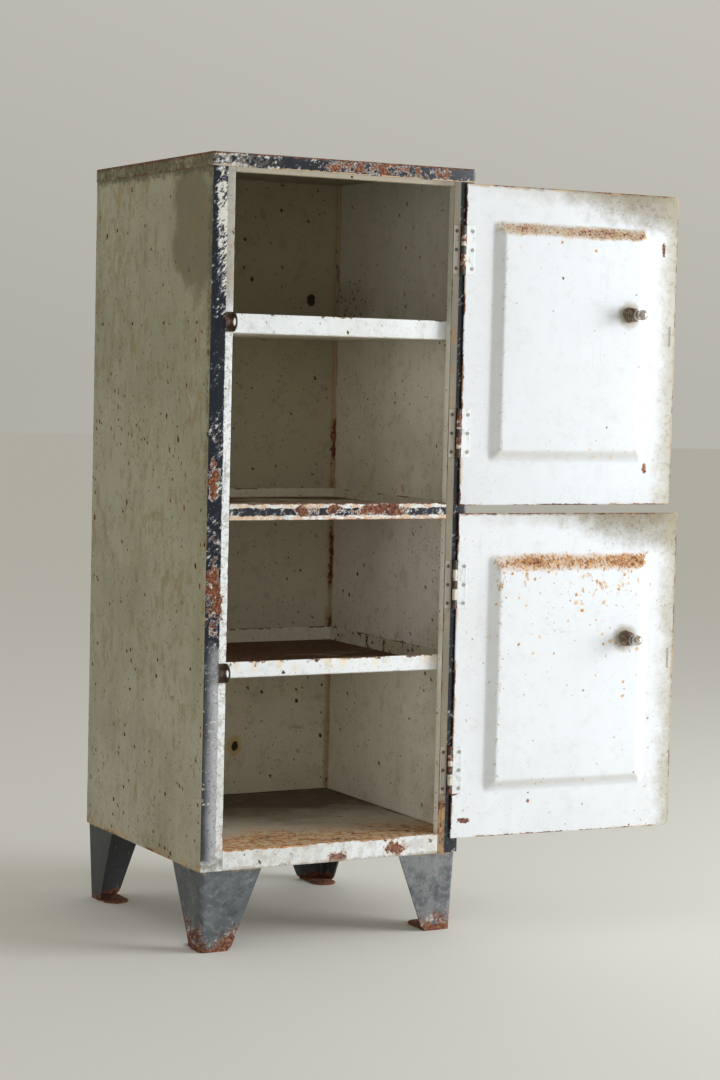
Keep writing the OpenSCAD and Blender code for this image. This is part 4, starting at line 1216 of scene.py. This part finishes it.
def dress(nodes, material, bevel=0.0):
    """Gives CAD nodes a material and softens their sharp edges."""
    for name in nodes:
        node = frame["nodes"][name]
        node.data.materials.clear()
        node.data.materials.append(material)
        if bevel:
            weld = node.modifiers.new("weld", "WELD")
            weld.merge_threshold = 0.01 * MM
            soften = node.modifiers.new("soften", "BEVEL")
            soften.width = bevel
            soften.segments = 2
            soften.limit_method = "ANGLE"
            soften.angle_limit = math.radians(40)


steel = rusty_steel()
wire = spring_steel()
rivet = dark_steel()
# The rivets on the door leaves are painted white, but are given a mid grey, a painted shade for the shadow round
# each head.
SHADED_RIVET_GREY = (0.33, 0.32, 0.3)
shaded_rivets = hinge_paint("shaded_painted_rivet", SHADED_RIVET_GREY, SHADED_RIVET_GREY)
plating = worn_plating()
# The frame leaves lie on the right stile's strip and take its dark grey, the same painted shade of the open
# door.
frame_leaf = hinge_paint("frame_leaf_shaded_paint", (0.34, 0.31, 0.255), (0.04, 0.033, 0.03))
door_leaf = hinge_paint("door_leaf_paint", WHITE_ENAMEL, (0.62, 0.58, 0.5))
for which, slope_rust_and_light in (("upper", 0.0), ("lower", 1.0)):
    door = Door(which)
    spindle = door.open(*door.spindle)
    low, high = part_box(which + "_door_skin")
    skin = door_enamel(which, low, high, door.open_panel(), (spindle.x, spindle.z), slope_rust_and_light)
    door_skin(door, skin)
    coil_spring(door, wire)
    dress([f"{which}_door_leaf_{end}" for end in "ab"], door_leaf, 0.3 * MM)
    dress([f"{which}_{part}" for part in ("rose", "spindle", "spring_cup", "ball_nut", "knob")], plating)
    dress([f"{which}_frame_leaf_{end}" for end in "ab"], frame_leaf, 0.3 * MM)
    dress([f"{which}_hinge_pin_{end}" for end in "ab"] + [which + "_padlock_eye"], steel, 0.3 * MM)
    dress([which + "_door_leaf_rivets"], shaded_rivets)
dress(["frame_leaf_rivets", "eye_rivets", "shelf_rivets"], rivet)

inner, outer = inner_enamel(), outer_enamel()
folded_side("left_folded_side", "left_side", inner, outer, left_stile_enamel(), -1)
folded_side("right_folded_side", "right_side", inner, outer, right_stile_enamel(), 1)
dress(["back_panel"], back_enamel())
dress(["top_rail"], shelf_enamel("top_rail_enamel", *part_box("top_rail"), 0.3, 61, (0.4, 0.36, 0.29)), 0.4 * MM)
dress(["mid_rail"], rail_enamel(), 0.45 * MM)
dress(["bottom_pan"], pan_enamel(), 0.45 * MM)
slate = leg_paint()
for end, end_sign in (("front", -1), ("rear", 1)):
    for side, side_sign in (("left", -1), ("right", 1)):
        leg = pressed_leg(f"{end}_{side}_pressed_leg", f"{end}_{side}_leg", slate, side_sign, end_sign)

for shelf, floor_rust, seed in (("upper", 0.15, 71), ("mid", 0.35, 82), ("lower", 0.95, 93)):
    node = shelf + "_shelf"
    finish = shelf_enamel(node + "_enamel", *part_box(node), floor_rust, seed)
    folded_tray(shelf + "_tray", node, finish, TRAY_CORNER)
folded_tray("folded_lid", "lid", lid_enamel(), LID_CORNER, upward=False)


# ---------------------------------------------------------------- camera, light and floor


def plain_material(name, colour, roughness):
    material = bpy.data.materials.new(name)
    material.use_nodes = True
    shader = material.node_tree.nodes["Principled BSDF"]
    shader.inputs["Base Color"].default_value = (*colour, 1)
    shader.inputs["Roughness"].default_value = roughness
    return material


def camera():
    """A long lens from the front left, a little above the middle of the cabinet."""
    yaw, pitch, roll = (math.radians(a) for a in CAMERA_TURN)
    ahead = Vector((math.sin(yaw) * math.cos(pitch), math.cos(yaw) * math.cos(pitch), math.sin(pitch)))
    right = Vector((math.cos(yaw), -math.sin(yaw), 0))
    up = right.cross(ahead)
    across = right * math.cos(roll) + up * math.sin(roll)
    top = up * math.cos(roll) - right * math.sin(roll)
    data = bpy.data.cameras.new("camera")
    data.lens = LENS
    data.clip_start = 0.1
    made = bpy.data.objects.new("camera", data)
    bpy.context.scene.collection.objects.link(made)
    turn = Matrix((across, top, -ahead)).transposed().to_4x4()
    made.matrix_world = Matrix.Translation(CAMERA_PLACE) @ turn
    bpy.context.scene.camera = made


def area_light(name, place, target, size, power, colour):
    data = bpy.data.lights.new(name, "AREA")
    data.shape = "RECTANGLE"
    data.size, data.size_y = size
    data.energy = power
    data.color = colour
    made = bpy.data.objects.new(name, data)
    bpy.context.scene.collection.objects.link(made)
    made.location = place
    made.rotation_euler = (Vector(target) - Vector(place)).to_track_quat("-Z", "Y").to_euler()


def floor():
    """A wide pale floor."""
    reach, sides = 30, 64
    points = [(x, y, 0) for x, y in arc((0, 0), reach, 0, 360, sides)[:-1]]
    mesh = bpy.data.meshes.new("floor")
    mesh.from_pydata(points, [], [tuple(range(sides))])
    mesh.materials.append(plain_material("floor", (0.8, 0.79, 0.76), 0.75))
    made = bpy.data.objects.new("floor", mesh)
    bpy.context.scene.collection.objects.link(made)


def sky():
    """Even light from all round, a little brighter on the right and dimmer at the horizon."""
    world = bpy.data.worlds.new("studio")
    bpy.context.scene.world = world
    world.use_nodes = True
    tree = world.node_tree
    background = tree.nodes["Background"]
    background.inputs["Color"].default_value = (0.84, 0.82, 0.74, 1)
    way = tree.nodes.new("ShaderNodeTexCoord")
    parts = tree.nodes.new("ShaderNodeSeparateXYZ")
    tree.links.new(way.outputs["Generated"], parts.inputs[0])

    def factor(part, *limits):
        """A factor that grows with part of the view direction, between limits."""
        made = tree.nodes.new("ShaderNodeMapRange")
        for socket, value in zip(("From Min", "From Max", "To Min", "To Max"), limits):
            made.inputs[socket].default_value = value
        tree.links.new(part, made.inputs["Value"])
        return made.outputs[0]

    both = tree.nodes.new("ShaderNodeMath")
    both.operation = "MULTIPLY"
    tree.links.new(factor(parts.outputs[0], -1, 1, 0.38, 0.86), both.inputs[0])
    tree.links.new(factor(parts.outputs[2], 0, 0.35, 0.74, 1), both.inputs[1])
    tree.links.new(both.outputs[0], background.inputs["Strength"])


camera()
floor()
sky()
area_light("window", (3.1, -2.0, 1.2), (0.1, -0.2, 0.6), (2.0, 2.0), 116, (0.94, 0.97, 1.0))
area_light("fill", (-2.2, -4.0, 1.0), (0.1, 0, 0.5), (2.5, 2.0), 18, (1.0, 0.98, 0.94))
bpy.context.scene.view_settings.view_transform = "Standard"
